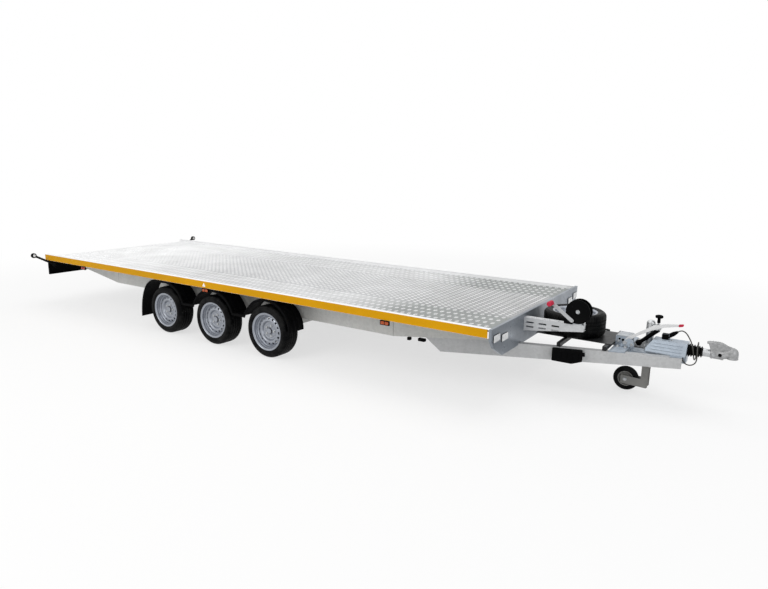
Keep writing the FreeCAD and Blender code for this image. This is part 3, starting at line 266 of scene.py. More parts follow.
def there_and_back(half: Sequence[Pair]) -> list[Pair]:
    """Half a profile and its mirror image in height, as one profile."""
    return [*half, *[(radius, -height) for radius, height in half[::-1]]]


def spun(profile: Sequence[Pair], angle: Array) -> Array:
    """A row of points for each pair of radius r and height h: (r cos a, r sin a, h) for every angle a."""
    pairs = np.asarray(profile, float)
    return np.stack([np.outer(pairs[:, 0], np.cos(angle)), np.outer(pairs[:, 0], np.sin(angle)),
                     np.repeat(pairs[:, 1:], len(angle), 1)], -1)


def lathe(profile: Sequence[Pair], axis: Along, centre: Sequence[float], steps: int = 64,
          closed: bool = False, outward: int = 1) -> Shape:
    """Turn a profile about an axis.

    Args:
        profile: Pairs of radius and height; an end on the axis becomes a pole.
        axis: The axis that it turns round.
        centre: Where the profile's own zero is.
        steps: Number of angles.
        closed: The profile is a closed loop.
        outward: 1 or -1, the way in which heights count along the axis.

    Returns:
        The turned shape.
    """
    pairs = np.asarray(profile, float) * (1, outward)
    ring = spun(pairs, np.linspace(0, 2 * math.pi, steps, endpoint=False))
    return surface(placed(ring, axis, centre), wrap_rows=closed, wrap_columns=True)


def rounded(profile: Sequence[Pair], radius: float, steps: int = 3, closed: bool = False) -> Array:
    """Round a profile's corners: each becomes a short arc that is tangent to both its sides.

    Args:
        profile: Corners in a plane.
        radius: Distance from a corner at which its arc starts, cut to under half of each side.
        steps: Points on an arc, less one.
        closed: Whether the last corner joins the first.

    Returns:
        The rounded profile's points.
    """
    pairs = np.asarray(profile, float)
    count = len(pairs)
    result = []
    for i, corner in enumerate(pairs):
        if not closed and i in (0, count - 1):
            result.append(corner[None])
            continue
        before, after = pairs[i - 1] - corner, pairs[(i + 1) % count] - corner
        reach = min(radius, 0.45 * np.linalg.norm(before), 0.45 * np.linalg.norm(after))
        start = corner + before / max(np.linalg.norm(before), 1e-9) * reach
        end = corner + after / max(np.linalg.norm(after), 1e-9) * reach
        t = np.linspace(0, 1, steps + 1)[:, None]
        result.append((1 - t) ** 2 * start + 2 * t * (1 - t) * corner + t ** 2 * end)
    return np.concatenate(result)


def inset(outline: Array, distance: float) -> Array:
    """Move every side of a closed outline inwards: each corner goes along the sum of its two sides' normals.

    Args:
        outline: Corners in a plane, counter-clockwise.
        distance: How far the sides move.

    Returns:
        The moved corners.
    """
    ahead = np.roll(outline, -1, 0) - outline
    ahead /= np.maximum(np.linalg.norm(ahead, axis=1, keepdims=True), 1e-12)
    normal = np.stack([-ahead[:, 1], ahead[:, 0]], -1)
    before = np.roll(normal, 1, 0)
    both = normal + before
    length = np.maximum(np.sum(both * both, 1, keepdims=True), 0.2)
    return outline + both * (2 * distance / length)


def counter_clockwise(outline: Array) -> Array:
    """The outline, turned round if its area comes out negative."""
    x, y = outline[:, 0], outline[:, 1]
    area = np.sum(x * np.roll(y, -1) - y * np.roll(x, -1))
    return outline if area > 0 else outline[::-1]


def slab(outline: Sequence[Pair], low: float, high: float, axis: Along, edge: float = 0.001,
         corner: float = 0.0, steps: int = 3) -> Shape:
    """A plate: an outline carried from low to high along an axis, with both its rims bevelled.

    Args:
        outline: Corners, in the two axes that follow the plate's own in the order X, Y, Z.
        low: Lower end along the axis.
        high: Upper end along the axis.
        axis: The plate's thickness.
        edge: Width of the bevel.
        corner: Radius of the outline's corners.
        steps: Points on a corner, less one.

    Returns:
        The plate.
    """
    flat = np.asarray(outline, float)
    if axis is Along.Y:
        flat = flat[:, ::-1]
    flat = counter_clockwise(flat)
    if corner:
        flat = rounded(flat, corner, steps, closed=True)
    inner = inset(flat, edge)
    rings = [(inner, low), (flat, low + edge), (flat, high - edge), (inner, high)]
    grid = np.stack([np.concatenate([ring, np.full((len(ring), 1), h)], 1) for ring, h in rings])
    return surface(placed(grid, axis), wrap_columns=True, caps=True)


def brick(low: Sequence[float], high: Sequence[float], edge: float = 0.001, corner: float = 0.0,
          axis: Along = Along.Z) -> Shape:
    """A block between two corners, with bevelled edges.

    Args:
        low: Lowest corner.
        high: Highest corner.
        edge: Width of the bevel.
        corner: Radius of the four edges along the axis.
        axis: Which edges are the rounded ones.

    Returns:
        The block.
    """
    c = "XYZ".index(axis.name)
    a, b = [i for i in range(3) if i != c]
    return slab(rectangle((low[a], low[b]), (high[a], high[b])), low[c], high[c], axis, edge, corner)


def disc(radius: float, low: float, high: float, axis: Along, centre: Sequence[float], edge: float = 0.001,
         steps: int = 32) -> Shape:
    """A bevelled round plate or rod about an axis through centre, closed at both ends."""
    return lathe([(0, low), (radius - edge, low), (radius, low + edge), (radius, high - edge),
                  (radius - edge, high), (0, high)], axis, centre, steps)


def frames_along(path: Array) -> tuple[Array, Array]:
    """Two directions square to a path at each of its points, carried along it without twist.

    Args:
        path: Points, as rows.

    Returns:
        The sideways and the upward directions.
    """
    ahead = np.gradient(path, axis=0)
    ahead /= np.maximum(np.linalg.norm(ahead, axis=1, keepdims=True), 1e-12)
    seed = np.array([0, 0, 1.0]) if abs(ahead[0][2]) < 0.9 else np.array([0, 1.0, 0])
    side = np.cross(ahead[0], seed)
    sides = []
    for direction in ahead:
        side = side - direction * (side @ direction)
        side /= np.linalg.norm(side)
        sides.append(side)
    sides = np.array(sides)
    return sides, np.cross(sides, ahead)


def carried(section: Array, path: Array, scale: Array | float = 1.0) -> Shape:
    """Carry a closed section along a path: section point (a, b) goes to path + a side + b up.

    Args:
        section: Closed outline, as pairs.
        path: Points of the path.
        scale: Size of the section at each point of the path.

    Returns:
        The swept shape, closed at its ends.
    """
    path = np.asarray(path, float)
    side, up = frames_along(path)
    size = np.broadcast_to(np.asarray(scale, float), len(path))[:, None, None]
    grid = path[:, None] + size * (section[None, :, :1] * side[:, None] + section[None, :, 1:] * up[:, None])
    return surface(grid, wrap_columns=True, caps=True)


def circle(radius: float, sides: int = 16) -> Array:
    """A round section."""
    angle = np.linspace(0, 2 * math.pi, sides, endpoint=False)
    return np.stack([np.cos(angle), np.sin(angle)], -1) * radius


def flowing(points: Sequence[Point], per_span: int = 8) -> Array:
    """A smooth path: a quadratic spline with these points as control points, which ends on the outer two.

    Args:
        points: Control points.
        per_span: Points worked out on each span.

    Returns:
        The path's points.
    """
    pts = np.asarray(points, float)
    middles = (pts[1:] + pts[:-1]) / 2
    starts = np.concatenate([pts[:1], middles[1:-1]])
    ends = np.concatenate([middles[1:-1], pts[-1:]])
    t = np.linspace(0, 1, per_span, endpoint=False)[None, :, None]
    spans = (1 - t) ** 2 * starts[:, None] + 2 * t * (1 - t) * pts[1:-1][:, None] + t ** 2 * ends[:, None]
    return np.concatenate([spans.reshape(-1, 3), pts[-1:]])


def pipe(points: Sequence[Point], radius: float) -> Shape:
    """A round bar along a smooth path."""
    return carried(circle(radius, 14), flowing(points))


def bolts(places: Sequence[Sequence[float]], axis: Along, across: float = 0.016, height: float = 0.008,
          outward: int = 1) -> Shape:
    """Hexagon heads on their washers, standing off a face.

    Args:
        places: Middle of each washer's underside.
        axis: The bolts' axis.
        across: Width across the flats.
        height: Height of a head.
        outward: 1 or -1, the way that they stand off along their axis.

    Returns:
        Heads and washers.
    """
    one = Shape()
    washer, edge = 0.15 * across, 0.08 * across
    for steps, radius, low, high in ((20, across * 0.72, 0.0, washer),
                                     (6, across * 0.577, washer, washer + height)):
        profile = [(0, low), (radius, low), (radius, high - edge), (radius - edge, high), (0, high)]
        one.join(lathe(profile, axis, (0, 0, 0), steps, outward=outward))
    return Shape().copies(one, places)


def domes(places: Sequence[Sequence[float]], axis: Along, radius: float, rise: float, outward: int = 1,
          steps: int = 16) -> Shape:
    """Rivet heads: each a cap whose height falls off from its middle as a circle's does."""
    turn = np.linspace(math.pi / 2, 0, 5)
    profile = np.stack([np.cos(turn) * radius, np.sin(turn) * rise], -1)
    return Shape().copies(lathe(profile, axis, (0, 0, 0), steps, outward=outward), places)


# Finishes: each one makes its material from nodes that read object coordinates in metres.


class Graph:
    """The nodes of one material or world, made by short calls."""

    def __init__(self, owner: bpy.types.ID) -> None:
        """Start from the nodes that come with the owner; a material's surface is a Principled shader.

        Args:
            owner: The material or world.
        """
        self.owner = owner
        owner.use_nodes = True
        self.tree = owner.node_tree
        self.shader = self.tree.nodes.get("Principled BSDF")
        if self.shader:
            self.where = self.node("ShaderNodeTexCoord").outputs["Object"]

    def node(self, kind: str, inputs: dict | None = None, **settings: object) -> bpy.types.Node:
        """Add a node.

        Args:
            kind: Blender's name for it.
            inputs: Values or sockets for its inputs, by name or number.
            settings: Properties of the node.

        Returns:
            The node.
        """
        made = self.tree.nodes.new(kind)
        for key, value in settings.items():
            setattr(made, key, value)
        for key, value in (inputs or {}).items():
            self.feed(made.inputs[key], value)
        return made

    def feed(self, socket: Socket, value: object) -> None:
        """Link a socket to another, or give it a plain value."""
        if isinstance(value, Socket):
            self.tree.links.new(value, socket)
        elif isinstance(value, tuple) and len(value) == 3 and socket.type == "RGBA":
            socket.default_value = (*value, 1)
        else:
            socket.default_value = value

    def shade(self, inputs: dict) -> None:
        """Give the surface's shader values or links, by the names of its inputs."""
        for key, value in inputs.items():
            self.feed(self.shader.inputs[key], value)

    def noise(self, scale: float, detail: float, stretch: Point | None = None,
              rough: float = 0.55) -> Socket:
        """Soft noise around a half.

        Args:
            scale: Waves in a metre.
            detail: Number of finer octaves.
            stretch: Scale of the coordinates along each axis.
            rough: Weight of the finer octaves.

        Returns:
            The noise.
        """
        where = self.where
        if stretch:
            where = self.node("ShaderNodeMapping", {"Vector": where, "Scale": stretch}).outputs[0]
        return self.node("ShaderNodeTexNoise", {"Vector": where, "Scale": scale, "Detail": detail,
                                                "Roughness": rough}).outputs["Fac"]

    def drift(self, scale: float, detail: float, to_low: float = 0.0, to_high: float = 1.0,
              spread: float = 0.2, stretch: Point | None = None) -> Socket:
        """Noise carried to a range; it takes the range's ends at a half less and a half plus the spread."""
        return self.ramp(self.noise(scale, detail, stretch), 0.5 - spread, 0.5 + spread, to_low, to_high)

    def cells(self, scale: float, feature: str = "F1", output: str = "Distance") -> Socket:
        """Cells: distance to the nearest centre or edge, or a random colour for each."""
        return self.node("ShaderNodeTexVoronoi", {"Vector": self.where, "Scale": scale},
                         feature=feature).outputs[output]

    def ramp(self, value: Socket, low: float, high: float, to_low: float = 0.0,
             to_high: float = 1.0) -> Socket:
        """Carry a value from one range to another, held at the ends."""
        return self.node("ShaderNodeMapRange", {"Value": value, "From Min": low, "From Max": high,
                                                "To Min": to_low, "To Max": to_high}).outputs[0]

    def maths(self, operation: str, *values: object) -> Socket:
        """One step of arithmetic."""
        return self.node("ShaderNodeMath", dict(enumerate(values)), operation=operation).outputs[0]

    def mix(self, share: object, first: object, second: object, **settings: object) -> Socket:
        """Between two colours."""
        return self.node("ShaderNodeMix", {"Factor": share, 6: first, 7: second}, data_type="RGBA",
                         **settings).outputs[2]

    def either(self, share: object, first: Socket, second: Socket) -> Socket:
        """Between two surfaces or two backgrounds."""
        return self.node("ShaderNodeMixShader", {0: share, 1: first, 2: second}).outputs[0]

    def place(self, axis: Along) -> Socket:
        """Object coordinate along one axis."""
        return self.node("ShaderNodeSeparateXYZ", {"Vector": self.where}).outputs[axis.name]

    def bump(self, height: Socket, strength: float, distance: float) -> None:
        """Give the surface a relief."""
        made = self.node("ShaderNodeBump", {"Height": height, "Strength": strength, "Distance": distance})
        self.shade({"Normal": made.outputs[0]})

    def seen_directly(self) -> Socket:
        """One where a ray comes from the camera, a reflection or glass, else nothing."""
        path = self.node("ShaderNodeLightPath").outputs
        total = path["Is Camera Ray"]
        for name in ("Is Glossy Ray", "Is Transmission Ray"):
            total = self.maths("MAXIMUM", total, path[name])
        return total


def toned(colour: Colour, share: float) -> Colour:
    """A colour times a share."""
    return tuple(min(1.0, part * share) for part in colour)


@dataclass(frozen=True)
class Finish:
    """A surface: its colour with a mottle, its roughness with a drift, and a fine grain in relief."""

    name: str
    slot: str
    colour: Colour
    rough: float = 0.5
    metal: float = 0.0
    mottle: float = 0.08
    mottle_scale: float = 9.0
    grain: float = 0.15
    grain_scale: float = 400.0
    grain_depth: float = 0.0006
    coat: float = 0.0
    coat_rough: float = 0.2
    gloss: float = 0.5

    def material(self) -> bpy.types.Material:
        """The finish's one material, made on first use; its title keeps it apart from the frame's own."""
        title = f"{self.name}_finish"
        found = bpy.data.materials.get(title)
        if found is not None:
            return found
        graph = Graph(bpy.data.materials.new(title))
        graph.shade({"Metallic": self.metal, "Coat Weight": self.coat, "Coat Roughness": self.coat_rough,
                     "Specular IOR Level": self.gloss})
        self.dress(graph)
        return graph.owner

    def tint(self, graph: Graph, share: Socket, dark: float, light: float) -> Socket:
        """The colour between a darker and a lighter tone of itself."""
        return graph.mix(share, toned(self.colour, dark), toned(self.colour, light))

    def dress(self, graph: Graph) -> None:
        """Colour, roughness and relief; finishes with more to show do their own."""
        graph.shade({"Base Color": self.tint(graph, graph.drift(self.mottle_scale, 4), 1 - self.mottle,
                                             1 + self.mottle),
                     "Roughness": graph.drift(self.mottle_scale * 3, 3, self.rough - 0.06,
                                              self.rough + 0.06)})
        if self.grain:
            graph.bump(graph.noise(self.grain_scale, 2), self.grain, self.grain_depth)


@dataclass(frozen=True)
class Galvanised(Finish):
    """Zinc-dipped steel: pale spangle with crystals of many tones, cloudy, with faint runs."""

    spangle: float = 75.0
    clouds: float = 0.1
    cloud_scale: float = 2.6

    def dress(self, graph: Graph) -> None:
        """Crystals tinted one by one, clouds over them, and a soft relief between them."""
        crystal = graph.node("ShaderNodeSeparateColor", {"Color": graph.cells(self.spangle, output="Color")})
        tone = graph.ramp(crystal.outputs[0], 0, 1, -0.09, 0.09)
        # Clouds of random tone; where strong, as on the front end plate, they are painted light and shade.
        cloud = graph.drift(self.cloud_scale, 5, -self.clouds, self.clouds)
        run = graph.drift(9, 3, -0.05, 0.05, 0.15, (1, 1, 0.12))
        share = graph.maths("ADD", graph.maths("ADD", tone, cloud), graph.maths("ADD", run, 0.5))
        graph.shade({"Base Color": self.tint(graph, share, 0.72, 1.28),
                     "Roughness": graph.ramp(share, 0.2, 0.8, self.rough + 0.1, self.rough - 0.1)})
        graph.bump(graph.noise(55, 3), 0.18, 0.002)


@dataclass(frozen=True)
class TreadPlate(Finish):
    """Tread plate: a painted highlight on its marks' crowns, painted shade towards the front, painted light
    towards the rear.
    """

    top: float = 0.608
    rise: float = 0.0012
    # Painted highlight: the colour of the marks' crowns.
    crown_highlight: Colour = (0.9, 0.9, 0.91)
    # Painted light and shade along the deck: the tone between the marks towards the front (dark) and towards
    # the rear (near white).
    front: Colour = (0.5, 0.505, 0.515)
    rear: Colour = (0.88, 0.885, 0.89)
    change: float = 1.2
    rear_change: float = -2.1

    def dress(self, graph: Graph) -> None:
        """Tone by height, so that a mark's crown carries a painted highlight and its foot is dull; painted
        shade to the front, painted light to the rear; and rolling lines along X.
        """
        height = graph.ramp(graph.place(Along.Z), self.top + self.rise * 0.4, self.top + self.rise * 1.4)
        level = graph.maths("MULTIPLY", graph.drift(3, 5, 0.9, 1.06),
                            graph.drift(60, 2, 0.97, 1.03, stretch=(0.03, 1, 1)))
        # Painted light and shade along X: dark ahead of change, near white behind rear_change.
        uneven = graph.maths("ADD", graph.place(Along.X), graph.drift(2, 3, -0.3, 0.3, 0.5))
        ahead = graph.ramp(uneven, self.change - 0.35, self.change + 0.15)
        behind = graph.ramp(graph.place(Along.X), self.rear_change - 0.9, self.rear_change + 0.9)
        dull = graph.mix(ahead, graph.mix(behind, self.rear, self.colour), self.front)
        # The crowns take the painted highlight, by height.
        graph.shade({"Base Color": graph.mix(1.0, graph.mix(height, dull, self.crown_highlight), level,
                                             blend_type="MULTIPLY"),
                     "Roughness": graph.ramp(height, 0, 1, self.rough + 0.12, self.rough - 0.1)})
        graph.bump(graph.noise(500, 2, (0.1, 1, 1)), 0.1, 0.0005)


@dataclass(frozen=True)
class Tape(Finish):
    """Retroreflective tape: orange-yellow film over a mesh of tiny sealed cells."""

    cell: float = 260.0

    def dress(self, graph: Graph) -> None:
        """Cell walls a shade darker, long clouds, and a glossy film."""
        wall = graph.ramp(graph.cells(self.cell, "DISTANCE_TO_EDGE"), 0.0, 0.08)
        film = self.tint(graph, graph.drift(1.6, 3, spread=0.15), 0.93, 1.06)
        graph.shade({"Base Color": graph.mix(wall, toned(self.colour, 0.8), film), "Roughness": self.rough})
        graph.bump(wall, 0.1, 0.0003)


@dataclass(frozen=True)
class Lens(Finish):
    """Moulded lamp lens: tinted, glossy and half clear, with prism ribs behind its face."""

    clear: float = 0.35
    ribs: float = 35.0

    def dress(self, graph: Graph) -> None:
        """Ribs across the lens as a wave in relief and in tone."""
        wave = graph.node("ShaderNodeTexWave", {"Vector": graph.where, "Scale": self.ribs},
                          wave_type="BANDS", bands_direction="Z").outputs["Fac"]
        graph.shade({"Base Color": self.tint(graph, wave, 0.75, 1.15), "Roughness": self.rough,
                     "Transmission Weight": self.clear})
        graph.bump(wave, 0.15, 0.001)


@dataclass(frozen=True)
class TyreRubber(Finish):
    """Tyre rubber: near black under patches of dust, finely pebbled."""

    dust: Colour = (0.05, 0.05, 0.048)

    def dress(self, graph: Graph) -> None:
        """Dust in soft patches over a fine pebble."""
        dust = graph.ramp(graph.noise(14, 5), 0.45, 0.75)
        graph.shade({"Base Color": graph.mix(graph.maths("MULTIPLY", dust, 0.35), self.colour, self.dust),
                     "Roughness": graph.ramp(dust, 0, 1, self.rough - 0.08, self.rough + 0.15)})
        graph.bump(graph.noise(700, 2), 0.2, 0.0004)


# Deck plates: front is painted shade at the deck's front, and the crowns' colour is a painted highlight.
LANE_PLATE = TreadPlate("chequer_lanes", "chequer_floor", (0.60, 0.605, 0.61), 0.45, 0.2,
                        front=(0.27, 0.285, 0.28))
MIDDLE_PLATE = TreadPlate("chequer_middle", "chequer_floor", (0.50, 0.505, 0.515), 0.4, 0.25,
                          crown_highlight=(0.92, 0.92, 0.92), front=(0.34, 0.345, 0.35))
RAIL_WHITE = Finish("rail_white", "rail_white", (0.93, 0.935, 0.94), 0.38, mottle=0.03, grain=0.05)
BEAM_GREY = Galvanised("beam_galvanised", "galvanised", (0.51, 0.51, 0.495), 0.5, 0.3, spangle=60,
                       clouds=0.05)
BAR_GREY = Galvanised("drawbar_galvanised", "galvanised", (0.45, 0.455, 0.46), 0.5, 0.3, spangle=60,
                      clouds=0.06)
GALVANISED = Galvanised("galvanised", "galvanised", (0.45, 0.47, 0.49), 0.42, 0.4)
SUPPORT_ZINC = Galvanised("support_galvanised", "galvanised", (0.54, 0.55, 0.56), 0.45, 0.25, clouds=0.06)
# Front end plate: its strong wide clouds are painted light and shade, standing for the light across its
# folded face.
PRESSED_ZINC = Galvanised("pressed_galvanised", "galvanised", (0.23, 0.255, 0.29), 0.36, 0.55, clouds=0.32,
                          cloud_scale=1.7)
HOUSING_ZINC = Galvanised("housing_galvanised", "galvanised", (0.36, 0.41, 0.47), 0.4, 0.45, clouds=0.08)
BRIGHT_ZINC = Finish("zinc_steel", "zinc_steel", (0.46, 0.47, 0.48), 0.34, 0.75, mottle=0.12, grain=0.12)
LEVER_ZINC = Finish("lever_zinc", "zinc_steel", (0.66, 0.665, 0.67), 0.4, 0.3, mottle=0.06, grain=0.08)
TAPE = Tape("reflective_tape", "rail_white", (0.66, 0.32, 0.0), 0.5, gloss=0.1)
MOULDING = Finish("black_moulding", "black_moulding", (0.0012, 0.0012, 0.0015), 0.6, mottle=0.25, grain=0.3,
                  grain_scale=260, gloss=0.04)
RUBBER = Finish("black_rubber", "black_rubber", (0.003, 0.003, 0.003), 0.6, mottle=0.2, grain=0.25,
                grain_scale=300, gloss=0.1)
TYRE = TyreRubber("tyre", "tyre", (0.0012, 0.0013, 0.0016), 0.5, gloss=0.06)
WHEEL_SILVER = Finish("wheel_silver", "wheel_silver", (0.31, 0.33, 0.37), 0.33, 0.7, mottle=0.05, grain=0.06,
                      coat=0.15)
BLACK_PAINT = Finish("black_paint", "black_moulding", (0.0012, 0.0013, 0.0015), 0.45, mottle=0.2, grain=0.1,
                     gloss=0.05)
CARRIER_BLACK = Finish("carrier_black", "black_paint", (0.012, 0.0125, 0.0135), 0.42, mottle=0.15,
                       grain=0.15, gloss=0.22)
GREY_PAINT = Finish("grey_paint", "grey_paint", (0.22, 0.217, 0.207), 0.5, 0.15, mottle=0.12)
CASTING = Finish("cast_silver", "cast_silver", (0.32, 0.323, 0.327), 0.5, 0.5, mottle=0.3, mottle_scale=45,
                 grain=0.5, grain_scale=160)
CAST_DARK = Finish("cast_dark", "cast_dark", (0.03, 0.03, 0.03), 0.6, 0.4, mottle=0.2, grain=0.3)
RED_LENS = Lens("red_lens", "red_lens", (0.42, 0.006, 0.005), 0.12)
AMBER_LENS = Lens("amber_lens", "amber_lens", (0.60, 0.09, 0.004), 0.12)
CLEAR_LENS = Lens("clear_lens", "clear_lens", (0.92, 0.94, 0.96), 0.12, clear=0.12)
RED_GRIP = Finish("red_grip", "black_rubber", (0.50, 0.015, 0.05), 0.45, mottle=0.12, grain=0.2, gloss=0.3)
CABLE = Finish("cable_sheath", "black_rubber", (0.035, 0.034, 0.028), 0.45, mottle=0.15, grain=0.1)
STRAP = Finish("winch_strap", "black_rubber", (0.004, 0.004, 0.0045), 0.75, mottle=0.25, grain=0.4,
               grain_scale=900, gloss=0.1)
# Painted shade: near-black patches where holes and recesses show only shade.
HOLE_SHADE = Finish("painted_hole_shade", "black_moulding", (0.001, 0.001, 0.001), 0.9, grain=0.0, gloss=0.02)


def add_piece(name: str, shape: Shape, finish: Finish, *replaces: str, body: str = "chassis",
              slot: str | None = None, smooth: float = 32.0) -> None:
    """Make a piece of the object from a shape.

    Args:
        name: The piece's name.
        shape: Its shape, in place.
        finish: Its surface.
        replaces: CAD nodes that it stands for.
        body: The body that it rides on.
        slot: Not used; the record's material slot, where it isn't the finish's own.
        smooth: Edges sharper than this, in degrees, stay sharp.
    """
    mesh = shape.mesh(name)
    mesh.polygons.foreach_set("use_smooth", np.ones(len(mesh.polygons), bool))
    mesh.set_sharp_from_angle(angle=math.radians(smooth))
    mesh.materials.append(finish.material())
    piece = bpy.data.objects.new(name, mesh)
    bpy.context.scene.collection.objects.link(piece)
    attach(piece, body)
    if replaces:
        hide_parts(*replaces)
    log.info("%s: %d faces on %s", name, len(mesh.polygons), body)


@dataclass
class Studio:
    """Pale floor, soft light and the camera, where the photograph was taken from."""

    stand: Point = (3.9985, -5.041, 1.793)
    yaw: float = -33.55
    pitch: float = -11.91
    roll: float = 0.826
    focal_pixels: float = 610.0
    sensor: float = 36.0
    aim: Point = (0.3, 0, 0.5)
    floor_half: float = 40.0
    floor_tone: Colour = (0.93, 0.93, 0.93)
    white: float = 1.0
    soft: float = 0.55
    near_share: float = 0.66
    fade_start: float = 3.0
    fade_end: float = 8.5

    def build(self) -> None:
        """Camera, lamps, world and floor."""
        self.camera()
        self.lamps()
        self.world()
        self.floor()

    def camera(self) -> None:
        """The camera looks along yaw from +Y towards -X and down by pitch, turned about its view by roll."""
        data = bpy.data.cameras.new("camera")
        data.sensor_width = self.sensor
        data.lens = self.focal_pixels / PHOTO_WIDTH * self.sensor
        data.clip_end = 200
        camera = bpy.data.objects.new("camera", data)
        bpy.context.scene.collection.objects.link(camera)
        yaw, pitch, roll = (math.radians(angle) for angle in (self.yaw, self.pitch, self.roll))
        ahead = Vector((math.sin(yaw) * math.cos(pitch), math.cos(yaw) * math.cos(pitch), math.sin(pitch)))
        right = Vector((math.cos(yaw), -math.sin(yaw), 0))
        up = right.cross(ahead)
        right, up = (right * math.cos(roll) + up * math.sin(roll),
                     up * math.cos(roll) - right * math.sin(roll))
        turn = Matrix((right, up, -ahead)).transposed()
        camera.matrix_world = Matrix.Translation(self.stand) @ turn.to_4x4()
        bpy.context.scene.camera = camera

    def lamps(self) -> None:
        """A wide key from the upper left behind the camera, a fill from the nose, a soft top."""
        table = (
            # name, place, size, watts, colour
            ("key", (-1.5, -9.0, 6.5), 6.0, 330.0, (1.0, 0.99, 0.97)),
            ("fill", (9.5, -4.5, 3.5), 5.0, 130.0, (0.96, 0.98, 1.0)),
            ("top", (0.0, 2.0, 9.0), 8.0, 300.0, (1.0, 1.0, 1.0)),
        )
        for name, place, size, watts, colour in table:
            data = bpy.data.lights.new(name, "AREA")
            data.shape = "SQUARE"
            data.size = size
            data.energy = watts
            data.color = colour
            lamp = bpy.data.objects.new(name, data)
            lamp.location = place
            lamp.rotation_euler = (Vector(self.aim) - Vector(place)).to_track_quat("-Z", "Y").to_euler()
            bpy.context.scene.collection.objects.link(lamp)

    def world(self) -> None:
        """White to the camera and in reflections, softer as light."""
        graph = Graph(bpy.data.worlds.new("studio"))
        graph.tree.nodes.clear()
        plain, seen = (graph.node("ShaderNodeBackground", {"Color": (1.0, 1.0, 1.0), "Strength": strength})
                       for strength in (self.soft, self.white))
        graph.node("ShaderNodeOutputWorld",
                   {0: graph.either(graph.seen_directly(), plain.outputs[0], seen.outputs[0])})
        bpy.context.scene.world = graph.owner

    def floor(self) -> None:
        """A wide pale plane under the wheels; with distance from the trailer its own white takes over."""
        half = self.floor_half
        corners = np.array([(*corner, 0) for corner in rectangle((-half, -half), (half, half))])
        floor = bpy.data.objects.new("floor", Shape().add(corners, np.array([[0, 1, 2, 3]])).mesh("floor"))
        bpy.context.scene.collection.objects.link(floor)
        graph = Graph(bpy.data.materials.new("pale_floor"))
        graph.shade({"Base Color": self.floor_tone, "Roughness": 0.9, "Specular IOR Level": 0.1})
        reach = graph.node("ShaderNodeVectorMath", {0: graph.where}, operation="LENGTH").outputs["Value"]
        fade = graph.node("ShaderNodeMapRange", {
            "Value": reach, "From Min": self.fade_start, "From Max": self.fade_end,
            "To Min": self.near_share, "To Max": 1.0}, interpolation_type="SMOOTHSTEP").outputs[0]
        share = graph.maths("MULTIPLY", fade, graph.seen_directly())
        glow = graph.node("ShaderNodeEmission", {"Strength": self.white})
        graph.feed(graph.tree.nodes["Material Output"].inputs["Surface"],
                   graph.either(share, graph.shader.outputs[0], glow.outputs[0]))
        floor.data.materials.append(graph.owner)


@dataclass(frozen=True)
class Mark:
    """A group of five raised bars, the middle one the longest.

    Each bar has a foot of length by width, and a crown drawn in from it, one rise above the plate.
    """

    turn: float
    long: float
    rise: float = 0.0018
    spread: float = 0.0063
    width: float = 0.0054
    shares: tuple[float, ...] = (0.6, 0.86, 1.0, 0.86, 0.6)

    def at(self, columns: Array, rows: Array, top: float) -> Shape:
        """One group at each crossing of a column and a row.

        Args:
            columns: Places along X.
            rows: Places along Y.
            top: Height of the plate's face.

        Returns:
            All the bars.
        """
        angle = math.radians(self.turn)
        along = np.array([math.cos(angle), math.sin(angle)])
        across = np.array([-along[1], along[0]])
        middle = np.stack(np.meshgrid(columns, rows, indexing="ij"), -1).reshape(-1, 1, 2)
        count = len(self.shares)
        steps = (np.arange(count) - (count - 1) / 2) * self.spread
        places = (middle + steps[:, None] * across).reshape(-1, 1, 2)
        half = np.tile(self.shares, len(middle))[:, None, None] * self.long / 2
        corners = np.array(rectangle((-1, -1), (1, 1)), float)[None]
        foot = places + corners[..., :1] * half * along + corners[..., 1:] * self.width / 2 * across
        crown = (places + corners[..., :1] * (half - self.width * 0.4) * along
                 + corners[..., 1:] * self.width * 0.27 * across)
        level = np.ones((len(places), 4, 1))
        points = np.concatenate([np.concatenate([foot, level * top], -1),
                                 np.concatenate([crown, level * (top + self.rise)], -1)], 1)
        sides = np.array([(0, 1, 5, 4), (1, 2, 6, 5), (2, 3, 7, 6), (3, 0, 4, 7), (4, 5, 6, 7)])
        faces = sides[None] + (np.arange(len(places)) * 8)[:, None, None]
        return Shape().add(points, faces.reshape(-1, 4))


